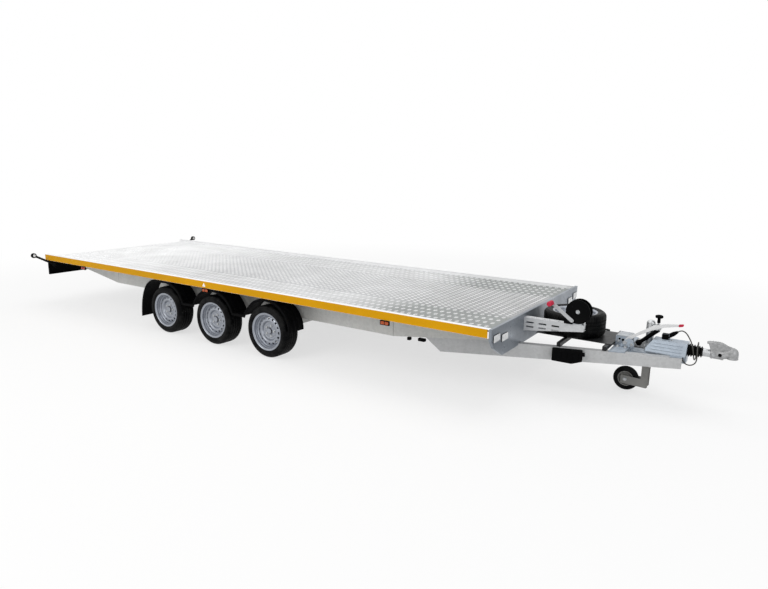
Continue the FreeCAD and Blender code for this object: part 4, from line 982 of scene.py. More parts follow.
@dataclass
class Deck:
    """The platform: tread plate in the middle and on both lanes, rails at its sides, tape on the rails."""

    rear: float = -3.8005
    front: float = 2.2695
    half: float = 1.048
    top: float = 0.608
    rail_low: float = 0.570
    rail_top: float = 0.640
    rail_flange: float = 0.045
    column_pitch: float = 0.063
    middle_rows: int = 17
    middle_pitch: float = 0.056
    middle_marks: tuple[Mark, Mark] = (Mark(45, 0.036), Mark(-45, 0.034, 0.001116, width=0.0036))
    lane_rows: int = 5
    lane_first: float = 0.525
    lane_pitch: float = 0.1112
    lane_marks: tuple[Mark, Mark] = (Mark(90, 0.06), Mark(0, 0.030, 0.0009, 0.0105, 0.0036))
    beam_count: int = 13
    end_inset: float = 0.022
    beam_wide: float = 0.1
    rivet_rows: tuple[float, ...] = (0.47, 0.515, 0.99)
    tape_mark: Pair = (-0.814, 0.602)
    beam_outer: float = 0.8
    beam_low: float = 0.37
    seams: tuple[Point, ...] = ((-2.641, 0.374, 0.568), (1.2875, 0.372, 0.568))
    clips: tuple[Point, ...] = ((1.402, 0.764, 0.030), (1.492, 0.736, 0.066))

    def pattern(self, rows: Array, marks: tuple[Mark, Mark]) -> Shape:
        """Marks of one kind at the rows, and of the other halfway between them, along the whole deck."""
        count = int((self.front - self.rear - 0.06) / self.column_pitch)
        columns = self.rear + 0.045 + self.column_pitch * np.arange(count)
        between = marks[1].at(columns + self.column_pitch / 2, (rows[1:] + rows[:-1]) / 2, self.top)
        return marks[0].at(columns, rows, self.top).join(between)

    def build(self) -> None:
        """Marks on the plates, tape, trim and rivets."""
        rows = (np.arange(self.middle_rows) - (self.middle_rows - 1) / 2) * self.middle_pitch
        add_piece("tread_marks_middle", self.pattern(rows, self.middle_marks), MIDDLE_PLATE)
        rows = self.lane_first + self.lane_pitch * np.arange(self.lane_rows)
        add_piece("tread_marks_lanes", self.pattern(rows, self.lane_marks).both(), LANE_PLATE)
        tape = brick((self.rear + 0.004, self.half - 0.0002, self.rail_low + 0.001),
                     (self.front - 0.010, self.half + 0.0007, self.rail_top - 0.0015), 0.0002)
        add_piece("side_tape", tape.both(), TAPE)
        self.trim()
        self.fasteners()

    def trim(self) -> None:
        """The rails' inner lips, a pale mark on the tape, seams on the main beams, clips on the drawbar."""
        inner = self.half - self.rail_flange
        lips = brick((self.rear + 0.002, inner, self.top + 0.0002),
                     (self.front - 0.002, inner + 0.002, self.rail_top - 0.002), 0.0004)
        add_piece("rail_lips", lips.both(), RAIL_WHITE)
        x, z = self.tape_mark
        mark = slab([(x - 0.024, z - 0.018), (x + 0.024, z - 0.018), (x, z + 0.022)], self.half + 0.0004,
                    self.half + 0.0012, Along.Y, 0.0002, 0.004)
        add_piece("tape_mark", mark.both(), RAIL_WHITE)
        seams, clips = Shape(), Shape()
        for x, low, high in self.seams:
            seams.join(brick((x - 0.0016, self.beam_outer, low),
                             (x + 0.0016, self.beam_outer + 0.0008, high), 0.0002))
        for x, y, long in self.clips:
            clips.join(brick((x, y - 0.032, self.beam_low - 0.024), (x + long, y, self.beam_low + 0.002),
                             0.003, 0.006, Along.Y))
        add_piece("beam_seams", seams.both(), GREY_PAINT, slot="galvanised")
        add_piece("drawbar_clips", clips.both(), MOULDING)

    def fasteners(self) -> None:
        """Rivets through the plates into the cross beams, and a near-black dome of painted shade in the hole
        at each end of a rail.
        """
        margin = self.end_inset + self.beam_wide / 2
        beams = np.linspace(self.rear + margin, self.front - margin, self.beam_count)
        rivets = domes([(x, y, self.top) for x in beams for y in self.rivet_rows], Along.Z, 0.0075, 0.0022,
                       steps=12)
        add_piece("deck_rivets", rivets.both(), BRIGHT_ZINC)
        # Painted shade in the open end of each rail: a near-black dome.
        places = [(x, self.half, self.rail_top - 0.011) for x in (self.rear + 0.02, self.front - 0.0065)]
        add_piece("rail_end_hole_shade", domes(places, Along.Y, 0.0062, 0.0026).both(), HOLE_SHADE)


@dataclass
class Tyre:
    """Road tyre: walls with two raised rings, a tread of ribs cut across by narrow slots.

    The surface is radius(angle, place on the profile): the profile's own radius, less the slot's depth where
    the angle lies in a slot and the place lies on a rib.
    """

    centre: Point
    axis: Along = Along.Y
    radius: float = 0.252
    half: float = 0.095
    pitches: int = 64
    slot_share: tuple[float, float, float, float] = (0.0, 0.74, 0.78, 0.96)
    slot_depth: float = 0.0045
    slot_lean: float = 0.9
    groove_depth: float = 0.0065
    grooves: tuple[float, ...] = (0.016, 0.044)
    groove_half: float = 0.0042

    def profile(self) -> tuple[Array, Array]:
        """Section from the outer bead to the inner one, and how deep the slots cut at each point."""
        r, h, wide = self.radius, self.half, self.groove_half
        wall = mm((165.5, 72), (167.5, 80.5), (178, 83.5), (184, 86.2), (187.5, 88.5), (189.5, 91.5),
                  (192.5, 91.5), (194.5, 91.8))
        wall += mm((202, -0.8), (211, 0), (219, -0.4), (221.5, -0.8), (222.5, 0.2), (225.5, -0.5),
                   (226.5, -2.2), (233, -5.5), (239, -10), base=(0, h))
        shoulder = mm((-8, -15), (-4, -21), (-1.5, -27.5), base=(r, h))
        crown = []
        for groove in self.grooves[::-1]:
            crown += [(r - 0.0002, groove + wide), (r - self.groove_depth, groove + wide - 0.0012),
                      (r - self.groove_depth, groove - wide + 0.0012), (r, groove - wide)]
        depth = ([0.0] * (len(wall) - 1) + [0.0012] + [self.slot_depth] * len(shoulder)
                 + [0.0028, 0.0, 0.0, 0.0022] * len(self.grooves))
        return np.array(there_and_back(wall + shoulder + crown)), np.array(depth + depth[::-1])

    def shape(self) -> Shape:
        """The whole carcass as one grid, its two beads joined inside."""
        pairs, depth = self.profile()
        share = (np.arange(self.pitches)[:, None] + np.array(self.slot_share)[None]).ravel()
        angle = share / self.pitches * 2 * math.pi
        cut = np.tile([0.0, 0.0, 1.0, 1.0], self.pitches)
        turned = angle[None] + np.abs(pairs[:, 1:]) * self.slot_lean * (depth[:, None] > 0.001)
        radius = pairs[:, :1] - depth[:, None] * cut[None]
        grid = np.stack([radius * np.cos(turned), radius * np.sin(turned), pairs[:, 1:] + 0 * turned], -1)
        return surface(placed(grid, self.axis, self.centre), wrap_rows=True, wrap_columns=True)


@dataclass
class Rim:
    """Pressed steel wheel: a barrel with its well, and a dished disc with a ring of round holes.

    The disc round each hole is a patch that runs from the hole's circle out to its own sector of the ring.
    """

    centre: Point
    axis: Along = Along.Y
    holes: int = 16
    ring: float = 0.1245
    ring_half: float = 0.0155
    hole: float = 0.0100
    crest: float = 0.0500
    fall: float = 0.50
    bend: float = 12.0
    wall: float = 0.0036
    steps: int = 8
    bolt_circle: float = 0.050
    bolt_count: int = 5
    face: float = 0.026

    def crown(self, radius: Array) -> Array:
        """Height of the disc's front by the holes: it falls outwards, in a line and a square."""
        out = radius - self.ring
        return self.crest - self.fall * out - self.bend * out ** 2

    def turned(self, profile: Sequence[Pair]) -> Shape:
        """An open profile turned at the angles at which the ring's patches meet the turned parts."""
        t = np.linspace(-math.pi / 4, math.pi / 4, self.steps, endpoint=False)
        sector = 2 * math.pi / self.holes
        angle = (np.arange(self.holes)[:, None] * sector + sector / 2 * np.tan(t)[None]).ravel()
        return surface(placed(spun(profile, angle), self.axis, self.centre), wrap_columns=True)

    def patches(self) -> Shape:
        """The ring with its holes: front skin from the sector's edge to the hole, its wall, the back skin."""
        count = self.steps * 4
        t = np.arange(count) * 2 * math.pi / count + math.pi / 4
        reach = 1 / np.maximum(np.abs(np.cos(t)), np.abs(np.sin(t)))
        sector = math.pi / self.holes
        radius, angle = self.ring + self.ring_half * np.cos(t) * reach, sector * np.sin(t) * reach
        edge = np.stack([radius * np.cos(angle), radius * np.sin(angle)], -1)
        hole = np.stack([np.cos(t), np.sin(t)], -1) * self.hole
        lip = hole * 1.22 + (self.ring, 0)
        flats = [(edge + (lip - edge) * share, 0.0) for share in (0.0, 0.4, 0.75, 1.0)]
        flats += [(hole * grown + (self.ring, 0), sink) for grown, sink in ((1.06, 0.0008), (1.0, 0.0022))]
        rows = [np.concatenate([flat, self.crown(np.linalg.norm(flat, axis=1, keepdims=True)) - sink], 1)
                for flat, sink in flats]
        x, y, z = np.moveaxis(np.stack(rows + [rows[-1] - (0, 0, self.wall), rows[0] - (0, 0, self.wall)]),
                              -1, 0)
        ring = Shape()
        for turn in np.arange(self.holes) * 2 * sector:
            c, s = math.cos(turn), math.sin(turn)
            grid = np.stack([x * c - y * s, x * s + y * c, z], -1)
            ring.join(surface(placed(grid, self.axis, self.centre), wrap_columns=True))
        return ring

    def shape(self) -> Shape:
        """Ring, centre and barrel, closed at their common edges."""
        inner, outer = self.ring - self.ring_half, self.ring + self.ring_half
        high_in, high_out = float(self.crown(inner)), float(self.crown(outer))
        face = self.face + self.wall
        centre = [(inner, high_in), *mm((104.5, 1.6), (100, 1.4), (95.5, -1), (91.5, -6.5),
                                        base=(0, high_in)),
                  *mm((88, 12), (83.5, 3), (79, 0.4), (74, 0), (66, 0), (64, 2.2), (42, 2.2), (40, 5),
                      (35, 7), (31, 5.5), (31, -3.6), (77, -3.6), (85, 2), base=(0, face)),
                  *mm((89, -11), (96, -5), base=(0, high_in)), (inner, high_in - self.wall)]
        barrel = [(outer, high_out), (0.1425, high_out - 0.0016), *mm(
            (145, 37), (147.5, 37.2), (150, 39.5), (154.5, 45.5), (156, 50), (156.5, 59), (157.5, 60.5),
            (160, 61),
            (161.2, 62.5), (161.6, 79), (164, 83), (174, 84.8), (176.8, 86.8), (178.2, 88), (181.2, 88.2),
            (182.5, 86.6), (182, 83.8), (179, 82.5), (165.5, 81), (165, 79), (165, 46), (146, 32),
            (146, -20),
            (165, -42), (165, -78), (181.5, -79), (182.5, -83), (179, -86), (174, -83), (161.2, -80),
            (161.2, -47), (142.5, -25), (142.5, 14), (141.5, 32)), (outer, high_out - self.wall)]
        return self.turned(centre).join(self.patches()).join(self.turned(barrel))

    def nuts(self) -> Shape:
        """Wheel bolts round the centre."""
        angle = 2 * math.pi * (np.arange(self.bolt_count) + 0.25) / self.bolt_count
        places = spun([(self.bolt_circle, self.face + self.wall)], angle)[0]
        return bolts(placed(places, self.axis, self.centre), self.axis, 0.019, 0.011)

    def valve(self) -> Shape:
        """The valve's rubber stem and cap, in the barrel's wall."""
        profile = mm((0, -4), (5.5, -4), (5.8, 4), (4.2, 10), (4, 22), (4.6, 23), (4.6, 32), (3.6, 34),
                     (0, 34))
        return lathe(profile, self.axis, placed((0.0, 0.150, 0.044), self.axis, self.centre), 14)

    def cap(self) -> Shape:
        """The bearing cap: a drawn cup with a step and a small dimple."""
        return lathe(mm((30, 1), (30.6, 4), (30.6, 14), (29.2, 16.5), (27.5, 18), (27, 23.5), (25.5, 25.5),
                        (10, 26.5), (8.5, 25.5), (0, 25.2), base=(0, self.face)), self.axis, self.centre, 40)


@dataclass
class RoadWheels:
    """The six road wheels, each riding on its own spinning body."""

    axles: tuple[tuple[Axle, float], ...] = ((Axle.REAR, -1.4525), (Axle.MIDDLE, -0.7135),
                                             (Axle.FRONT, 0.0255))
    half_track: float = 0.955
    height: float = 0.252

    def build(self) -> None:
        """Tyre, rim, bolts, valve and cap of each wheel."""
        for axle, x in self.axles:
            centre = (x, self.half_track, self.height)
            tyre, rim = Tyre(centre), Rim(centre)
            for side in Side:
                key = f"{axle.value}_{side.label}"
                for name, shape, finish, nodes in (
                        ("tyre_tread", tyre.shape(), TYRE, (f"tyre_{key}",)),
                        ("wheel_disc", rim.shape(), WHEEL_SILVER, (f"rim_{key}",)),
                        ("wheel_bolts", rim.nuts(), BRIGHT_ZINC, ()),
                        ("valve", rim.valve(), RUBBER, ()),
                        ("bearing_cap", rim.cap(), WHEEL_SILVER, ())):
                    shape = shape if side is Side.LEFT else shape.mirror()
                    add_piece(f"{name}_{key}", shape, finish, *nodes, body=f"wheel_{key}")


@dataclass
class Mudguards:
    """One moulding a side over three wheels: its section, with beads and a turned lip, along its outline.

    The flaps' corners, from the hub, and the section are in millimetres.
    """

    half: float = 1.044
    wide: float = 0.192
    radius: float = 0.3177
    hub_height: float = 0.252
    hubs: tuple[float, ...] = (-1.4525, -0.7135, 0.0255)
    valley: float = 0.120
    front_shoulder: float = 56.0
    rear_shoulder: float = 85.0
    front_flap: tuple[Pair, ...] = ((245, 203), (286, 134), (302, 66), (300, 35))
    rear_flap: tuple[Pair, ...] = ((150, 316), (232, 301), (308, 252), (366, 168), (401, 70), (419, -30),
                                   (425, -130))
    steps: int = 28
    section: tuple[Pair, ...] = (
        (0, 7), (0, 3), (2.5, 0.2), (18, 0.2), (24, 3), (58, 3), (64, 0.2), (72, 0.2), (78, 3), (114, 3),
        (120, 0.2),
        (128, 0.2), (134, 3), (168, 3), (174, 0.2), (187, 0.2), (190.5, 2), (192, 6), (192, 24), (190.5, 26),
        (188.5, 24), (188, 8.5), (185.5, 7.2))

    def outline(self, inset_by: float) -> Array:
        """The side outline, inset: rear flap, an arc over each wheel from valley to valley, front flap."""
        radius = self.radius - inset_by
        valley = math.asin((self.valley - inset_by) / radius)
        parts = [self.flap(self.rear_flap, -1, self.hubs[0], inset_by)[::-1]]
        for hub in self.hubs:
            start = math.pi - (math.radians(self.rear_shoulder) if hub == self.hubs[0] else valley)
            end = math.radians(self.front_shoulder) if hub == self.hubs[-1] else valley
            angle = np.linspace(start, end, self.steps)
            parts.append(np.stack([hub + radius * np.cos(angle), self.hub_height + radius * np.sin(angle)],
                                  -1))
        parts.append(self.flap(self.front_flap, 1, self.hubs[-1], inset_by))
        return np.concatenate(parts)

    def flap(self, corners: Sequence[Pair], ahead: int, hub: float, inset_by: float) -> Array:
        """A flap's smooth line: its corners drawn towards the hub by the inset, then rounded between them."""
        pairs = np.array(mm(*corners))
        pairs *= 1 - inset_by / np.linalg.norm(pairs, axis=1, keepdims=True)
        middles = (pairs[1:] + pairs[:-1]) / 2
        line = np.concatenate([pairs[:1], np.stack([middles, pairs[1:]], 1).reshape(-1, 2)])
        line[2:-1:2] = line[2:-1:2] * 0.5 + (line[1:-2:2] + line[3::2]) * 0.25
        return np.stack([hub + ahead * line[:, 0], self.hub_height + line[:, 1]], -1)

    def build(self) -> None:
        """Both mouldings."""
        rings = []
        for place, depth in mm(*self.section):
            line = self.outline(depth)
            y = np.full((len(line), 1), self.half - self.wide + place)
            rings.append(np.concatenate([line[:, :1], y, line[:, 1:]], 1))
        left = surface(np.stack(rings, 1), wrap_columns=True, caps=True)
        for side, shape in ((Side.RIGHT, left.mirror()), (Side.LEFT, left)):
            add_piece(f"mudguard_moulding_{side.label}", shape, MOULDING, f"mudguard_{side.label}",
                      smooth=40)


@dataclass
class FrontEnd:
    """The end plate's fittings: two white lamps a side on dark backs, and rivets."""

    face: float = 2.2915
    deep: float = 0.012
    half_wide: float = 0.055
    half_tall: float = 0.029
    lamps: tuple[Pair, ...] = ((0.960, 0.560), (0.805, 0.535))
    rivets: tuple[Pair, ...] = ((0.62, 0.60), (0.62, 0.45))

    def build(self) -> None:
        """Thin dark backs, pale lenses with two raised panes, and rivets."""
        backs, lenses = Shape(), Shape()
        a, b, face = self.half_wide, self.half_tall, self.face
        low, high = face + self.deep * 0.3, face + self.deep * 0.8
        pane = (a - 0.002) * 0.42, b - 0.012
        for y, z in self.lamps:
            backs.join(slab(around((y, z), (a, b)), face, low, Along.X, 0.001, 0.004))
            lenses.join(slab(around((y, z), (a - 0.002, b - 0.002)), low, high, Along.X, 0.002, 0.004))
            for middle in (y - 0.02544, y + 0.02544):
                lenses.join(slab(around((middle, z), pane), high, face + self.deep, Along.X, 0.0012, 0.003))
        add_piece("front_lamp_backs", backs.both(), MOULDING)
        add_piece("front_lamp_lenses", lenses.both(), CLEAR_LENS, "front_lamps")
        places = [(face, y, z) for y, z in self.rivets]
        add_piece("front_plate_rivets", domes(places, Along.X, 0.008, 0.003).both(), PRESSED_ZINC)


@dataclass
class RearEnd:
    """Behind: tail lamps with three chambers, outline lamps on ribbed arms, side markers in housings."""

    face: float = -3.7785
    lamp_centre: float = 0.800
    lamp_half: Pair = (0.115, 0.050)
    lamp_deep: float = 0.022
    cells: tuple[Pair, ...] = ((-0.104, -0.030), (-0.026, 0.040), (0.044, 0.104))
    reflector: float = 0.52
    plate_half: Pair = (0.26, 0.058)
    plate_lamp: float = 0.16
    panel_middle: float = 0.4775
    panel_high: float = 0.570
    bolt_rows: tuple[float, ...] = (0.1, 0.3, 0.5, 0.7, 0.9, 1.0)
    arm_root: Point = (-3.7435, 0.974, 0.510)
    arm_tip: Point = (-3.7435, 1.215, 0.645)
    arm_rings: int = 9
    markers: tuple[float, ...] = (-2.9455, -0.7905, 1.3645)
    marker_long: float = 0.092
    marker_tall: float = 0.040
    marker_deep: float = 0.016
    marker_outer: float = 1.062

    def build(self) -> None:
        """All the rear's fittings."""
        self.tail_lamps()
        self.outline_lamps()
        self.side_markers()

    def tail_lamps(self) -> None:
        """A dark body and three lenses a side, red, red and amber; a reflector, and a bare plate between."""
        z, face, back = self.panel_middle, self.face, self.face - self.lamp_deep
        bodies, red, amber = Shape(), Shape(), Shape()
        bodies.join(slab(around((self.lamp_centre, z), self.lamp_half), back + 0.006, face, Along.X, 0.002,
                         0.012, 5))
        half = self.lamp_half[1] - 0.008
        for (low, high), target in zip(self.cells, (red, red, amber)):
            cell = rectangle((self.lamp_centre + low, z - half), (self.lamp_centre + high, z + half))
            target.join(slab(cell, back, back + 0.010, Along.X, 0.003, 0.008, 4))
        triangle = mm((-45, -35), (45, -35), (0, 42), base=(self.reflector, z))
        red.join(slab(triangle, face - 0.008, face, Along.X, 0.0015, 0.008))
        y = self.plate_lamp
        bodies.join(brick((face - 0.030, y - 0.035, z + 0.062), (face, y + 0.035, z + 0.085), 0.003))
        clear = brick((face - 0.026, y - 0.028, z + 0.058), (face - 0.006, y + 0.028, z + 0.064), 0.002)
        plate = slab(around((0, z), self.plate_half), face - 0.004, face, Along.X, 0.001, 0.008)
        add_piece("tail_lamp_bodies", bodies.both().join(plate), MOULDING)
        add_piece("tail_lamp_red", red.both(), RED_LENS, "tail_lamps")
        add_piece("tail_lamp_amber", amber.both(), AMBER_LENS)
        add_piece("plate_lamp_lens", clear.both(), CLEAR_LENS)
        places = [(face, y, self.panel_high - 0.014) for y in self.bolt_rows]
        add_piece("rear_panel_bolts", domes(places, Along.X, 0.007, 0.003, -1).both(), BRIGHT_ZINC)

    def outline_lamps(self) -> None:
        """Rubber arms with rings, each ending in a round lamp, clear to the front and red to the back."""
        (x, y, z), tip = self.arm_root, self.arm_tip
        share = np.linspace(0, 1, 49)
        path = np.array(self.arm_root) + share[:, None] * (np.array(tip) - self.arm_root)
        ring = 1 - 0.16 * (np.cos(share * math.pi * 2 * self.arm_rings) > 0.3)
        waist = np.interp(share, [0, 0.12, 0.3, 0.8, 1.0], [1.0, 1.0, 0.9, 0.86, 1.0])
        arms = carried(circle(0.016), path, ring * waist)
        arms.join(brick((self.face + 0.004, y - 0.020, z - 0.025), (x + 0.011, y + 0.020, z + 0.025), 0.003,
                        0.006, Along.X))
        arms.join(lathe(mm((0, -16), (26, -16), (29.5, -14), (30, -10), (30, 10), (29.5, 14), (26, 16),
                           (0, 16)),
                        Along.X, tip, 40))
        front = lathe(mm((16, 15.5), (15.2, 19), (11, 20.8), (6, 21.5), (0, 21.7)), Along.X, tip, 36)
        back = lathe(mm((24.5, -15.5), (23.5, -19), (17, -21.2), (8, -21.9), (0, -22)), Along.X, tip, 36)
        add_piece("outline_lamp_arms", arms.both(), RUBBER, "outline_lamps")
        add_piece("outline_lamp_clear", front.both(), CLEAR_LENS)
        add_piece("outline_lamp_red", back.both(), RED_LENS)

    def side_markers(self) -> None:
        """Markers that hang from the rail: a dark housing with two panes that bulge from it."""
        housings, amber, red = Shape(), Shape(), Shape()
        outer, low, high = self.marker_outer, self.panel_high - self.marker_tall, self.panel_high
        for x, lenses in zip(self.markers, (red, amber, amber)):
            rear = x - self.marker_long / 2
            housings.join(slab(rectangle((rear, low), (rear + self.marker_long, high)),
                               outer - self.marker_deep, outer - 0.005, Along.Y, 0.0015, 0.008, 4))
            for start, end in ((0.008, 0.043), (0.049, 0.084)):
                pane = rectangle((rear + start, low + 0.006), (rear + end, high - 0.008))
                lenses.join(slab(pane, outer - 0.008, outer, Along.Y, 0.003, 0.006, 4))
        add_piece("side_marker_housings", housings.both(), MOULDING, "side_markers")
        add_piece("side_marker_amber", amber.both(), AMBER_LENS)
        add_piece("side_marker_red", red.both(), RED_LENS)


@dataclass
class Winch:
    """Hand winch on its tapered support: two dark discs, the strap on the drum, a crank with a red grip."""

    centre: Point = (2.7175, -0.370, 0.712)
    near: float = -0.400
    far: float = -0.340
    drum_radius: float = 0.034
    strap_half: float = 0.021
    strap_layers: int = 5
    disc_thick: float = 0.008
    top: float = 0.609
    support_rear: float = 2.2915
    support_front: float = 2.7695
    coach_bolts: tuple[float, ...] = (0.045, 0.085, 0.155, 0.195, 0.27)
    pivot: Pair = (2.6795, 0.640)
    grip: Pair = (2.5145, 0.762)
    grip_long: float = 0.072
    grip_radius: float = 0.0205
    knurls: int = 13
    teeth: int = 22

    def build(self) -> None:
        """Discs, strap, crank, hook, bolts and the ratchet."""
        self.discs()
        self.crank()
        self.fittings()

    def discs(self) -> None:
        """Each disc is pressed: a rolled rim, a shallow step, a raised middle; the strap is wound between."""
        x, _, z = self.centre
        profile = mm((9.2, 0), (9.2, 6.4), (20, 7.2), (24, 4.4), (58, 4.4), (63, 6.4), (83, 6.4), (87, 8),
                     (92, 8), (95, 5.2), (95, 1.6), (93, 0))
        covers = Shape()
        for y, outward in ((self.near, -1), (self.far, 1)):
            covers.join(lathe(profile, Along.Y, (x, y, z), 72, closed=True, outward=outward))
        add_piece("winch_discs", covers, BLACK_PAINT, "winch_covers")
        profile = [(self.drum_radius - 0.004, -self.strap_half)]
        for i in range(1, self.strap_layers):
            radius, half = self.drum_radius + 0.0115 * (1 - 0.5 ** i), self.strap_half * (1 - 0.03 * i)
            profile += [(radius, -half), (radius + 0.001, -half + 0.002)]
        add_piece("winch_strap", lathe(there_and_back(profile), Along.Y, self.centre, 48), STRAP)

    def crank(self) -> None:
        """Flat arm with rounded ends from its pivot up to the grip; the grip is turned with a knurl."""
        (px, pz), (gx, gz) = self.pivot, self.grip
        y = self.near - self.disc_thick
        along = np.subtract(self.grip, self.pivot)
        along /= np.linalg.norm(along)
        across = np.array([-along[1], along[0]])
        rounds = []
        for middle, radius, start in ((self.pivot, 0.015, 90), (self.grip, 0.0135, -90)):
            angle = np.radians(np.linspace(start, start + 180, 9))[:, None]
            rounds.append(middle + radius * (np.cos(angle) * along + np.sin(angle) * across))
        arm = slab(np.concatenate(rounds), y - 0.014, y - 0.008, Along.Y, 0.0012)
        arm.join(bolts([(px, y - 0.014, pz)], Along.Y, 0.019, 0.009, -1))
        arm.join(disc(0.009, 0.0, 0.022, Along.Y, (px, self.near - 0.014, pz)))
        arm.join(bolts([(gx, y - 0.008, gz)], Along.Y, 0.012, 0.004))
        add_piece("winch_crank_arm", arm, BRIGHT_ZINC, "winch_crank")
        share = np.linspace(0, 1, self.knurls * 4 + 1)
        wave = 0.5 + 0.5 * np.cos(share * self.knurls * 2 * math.pi)
        swell = np.interp(share, [0, 0.06, 0.12, 0.5, 0.9, 1.0], [0.86, 1.0, 0.92, 0.98, 0.94, 0.8])
        skin = np.stack([self.grip_radius * swell - 0.0012 * wave, share * self.grip_long], -1)
        grip = lathe([(0, 0), *skin, (0, self.grip_long)], Along.Y, (gx, y - 0.0145, gz), 40, outward=-1)
        add_piece("winch_crank_grip", grip, RED_GRIP)

    def fittings(self) -> None:
        """Coach bolts on the support's flange, the hook at its end, and the ratchet beside the drum."""
        x, mid, z = self.centre
        near, top, front = self.near, self.top, self.support_front
        heads = domes([(self.support_rear + ahead, mid - 0.008, top) for ahead in self.coach_bolts], Along.Z,
                      0.012, 0.008)
        heads.join(bolts([(x - 0.050, mid, top + 0.005), (x + 0.020, mid, top + 0.005)], Along.Z, 0.017))
        for y, outward in ((near - self.disc_thick, -1), (self.far + self.disc_thick, 1)):
            heads.join(bolts([(x, y, z)], Along.Y, 0.022, 0.009, outward))
        add_piece("winch_bolts", heads, BRIGHT_ZINC)
        add_piece("winch_hook", pipe([
            (front + 0.002, near + 0.012, top + 0.020), (front + 0.004, near + 0.012, 0.660),
            (front - 0.014, near + 0.014, 0.676), (front - 0.034, near + 0.014, 0.660),
            (front - 0.030, near + 0.012, 0.640)], 0.005), BRIGHT_ZINC)
        case = brick((x - 0.100, near - 0.020, top + 0.002), (x - 0.030, near - 0.002, 0.655), 0.004, 0.008,
                     Along.Y)
        case.join(disc(0.018, 0.0, 0.008, Along.Y, (x - 0.038, near - 0.010, 0.640), 0.002))
        add_piece("winch_gear_case", case, MOULDING)
        radius = 0.031 + 0.004 * np.tile([0, 0, 1, 1], self.teeth)[:, None]
        outline = (x, z) + radius * circle(1, self.teeth * 4)
        ratchet = slab(outline, self.far + 0.009, self.far + 0.016, Along.Y, 0.0006)
        add_piece("winch_ratchet", ratchet, BRIGHT_ZINC)


@dataclass
class Spare:
    """Spare wheel lying flat, with its hold-down plate and stud."""

    centre: Point = (2.5825, 0.0, 0.540)
    plate_half: Pair = (0.062, 0.022)

    def build(self) -> None:
        """Tyre, disc, valve, plate, stud and nut."""
        rim = Rim(self.centre, Along.Z)
        add_piece("spare_tyre_tread", Tyre(self.centre, Along.Z).shape(), TYRE, "spare_tyre")
        add_piece("spare_wheel_disc", rim.shape(), WHEEL_SILVER, "spare_rim")
        add_piece("spare_valve", rim.valve(), RUBBER)
        x, y, z = self.centre
        face = z + rim.face + rim.wall + 0.002
        hold = slab(around((x, y), self.plate_half), face, face + 0.006, Along.Z, 0.001, 0.012)
        hold.join(disc(0.008, -0.130, 0.060, Along.Z, (x, y, face)))
        hold.join(bolts([(x, y, face + 0.006)], Along.Z, 0.026, 0.016))
        add_piece("spare_hold_down", hold, BRIGHT_ZINC)


def bead(start: Point, end: Point, radius: float, sides: int, steps: int, taper: float,
         share: float) -> Shape:
    """A pressed bead: a round bar, half sunk in its sheet, that thins out at both ends.

    Args:
        start: One end of its axis.
        end: The other end.
        radius: Its radius.
        sides: Sides of its section.
        steps: Points on its axis.
        taper: Size of the ends, against the middle.
        share: Part of the length over which each end thins.

    Returns:
        The bead.
    """
    t = np.linspace(0, 1, steps)
    path = np.array(start) + t[:, None] * np.subtract(end, start)
    return carried(circle(radius, sides), path, np.interp(t, [0, share, 1 - share, 1], [taper, 1, 1, taper]))


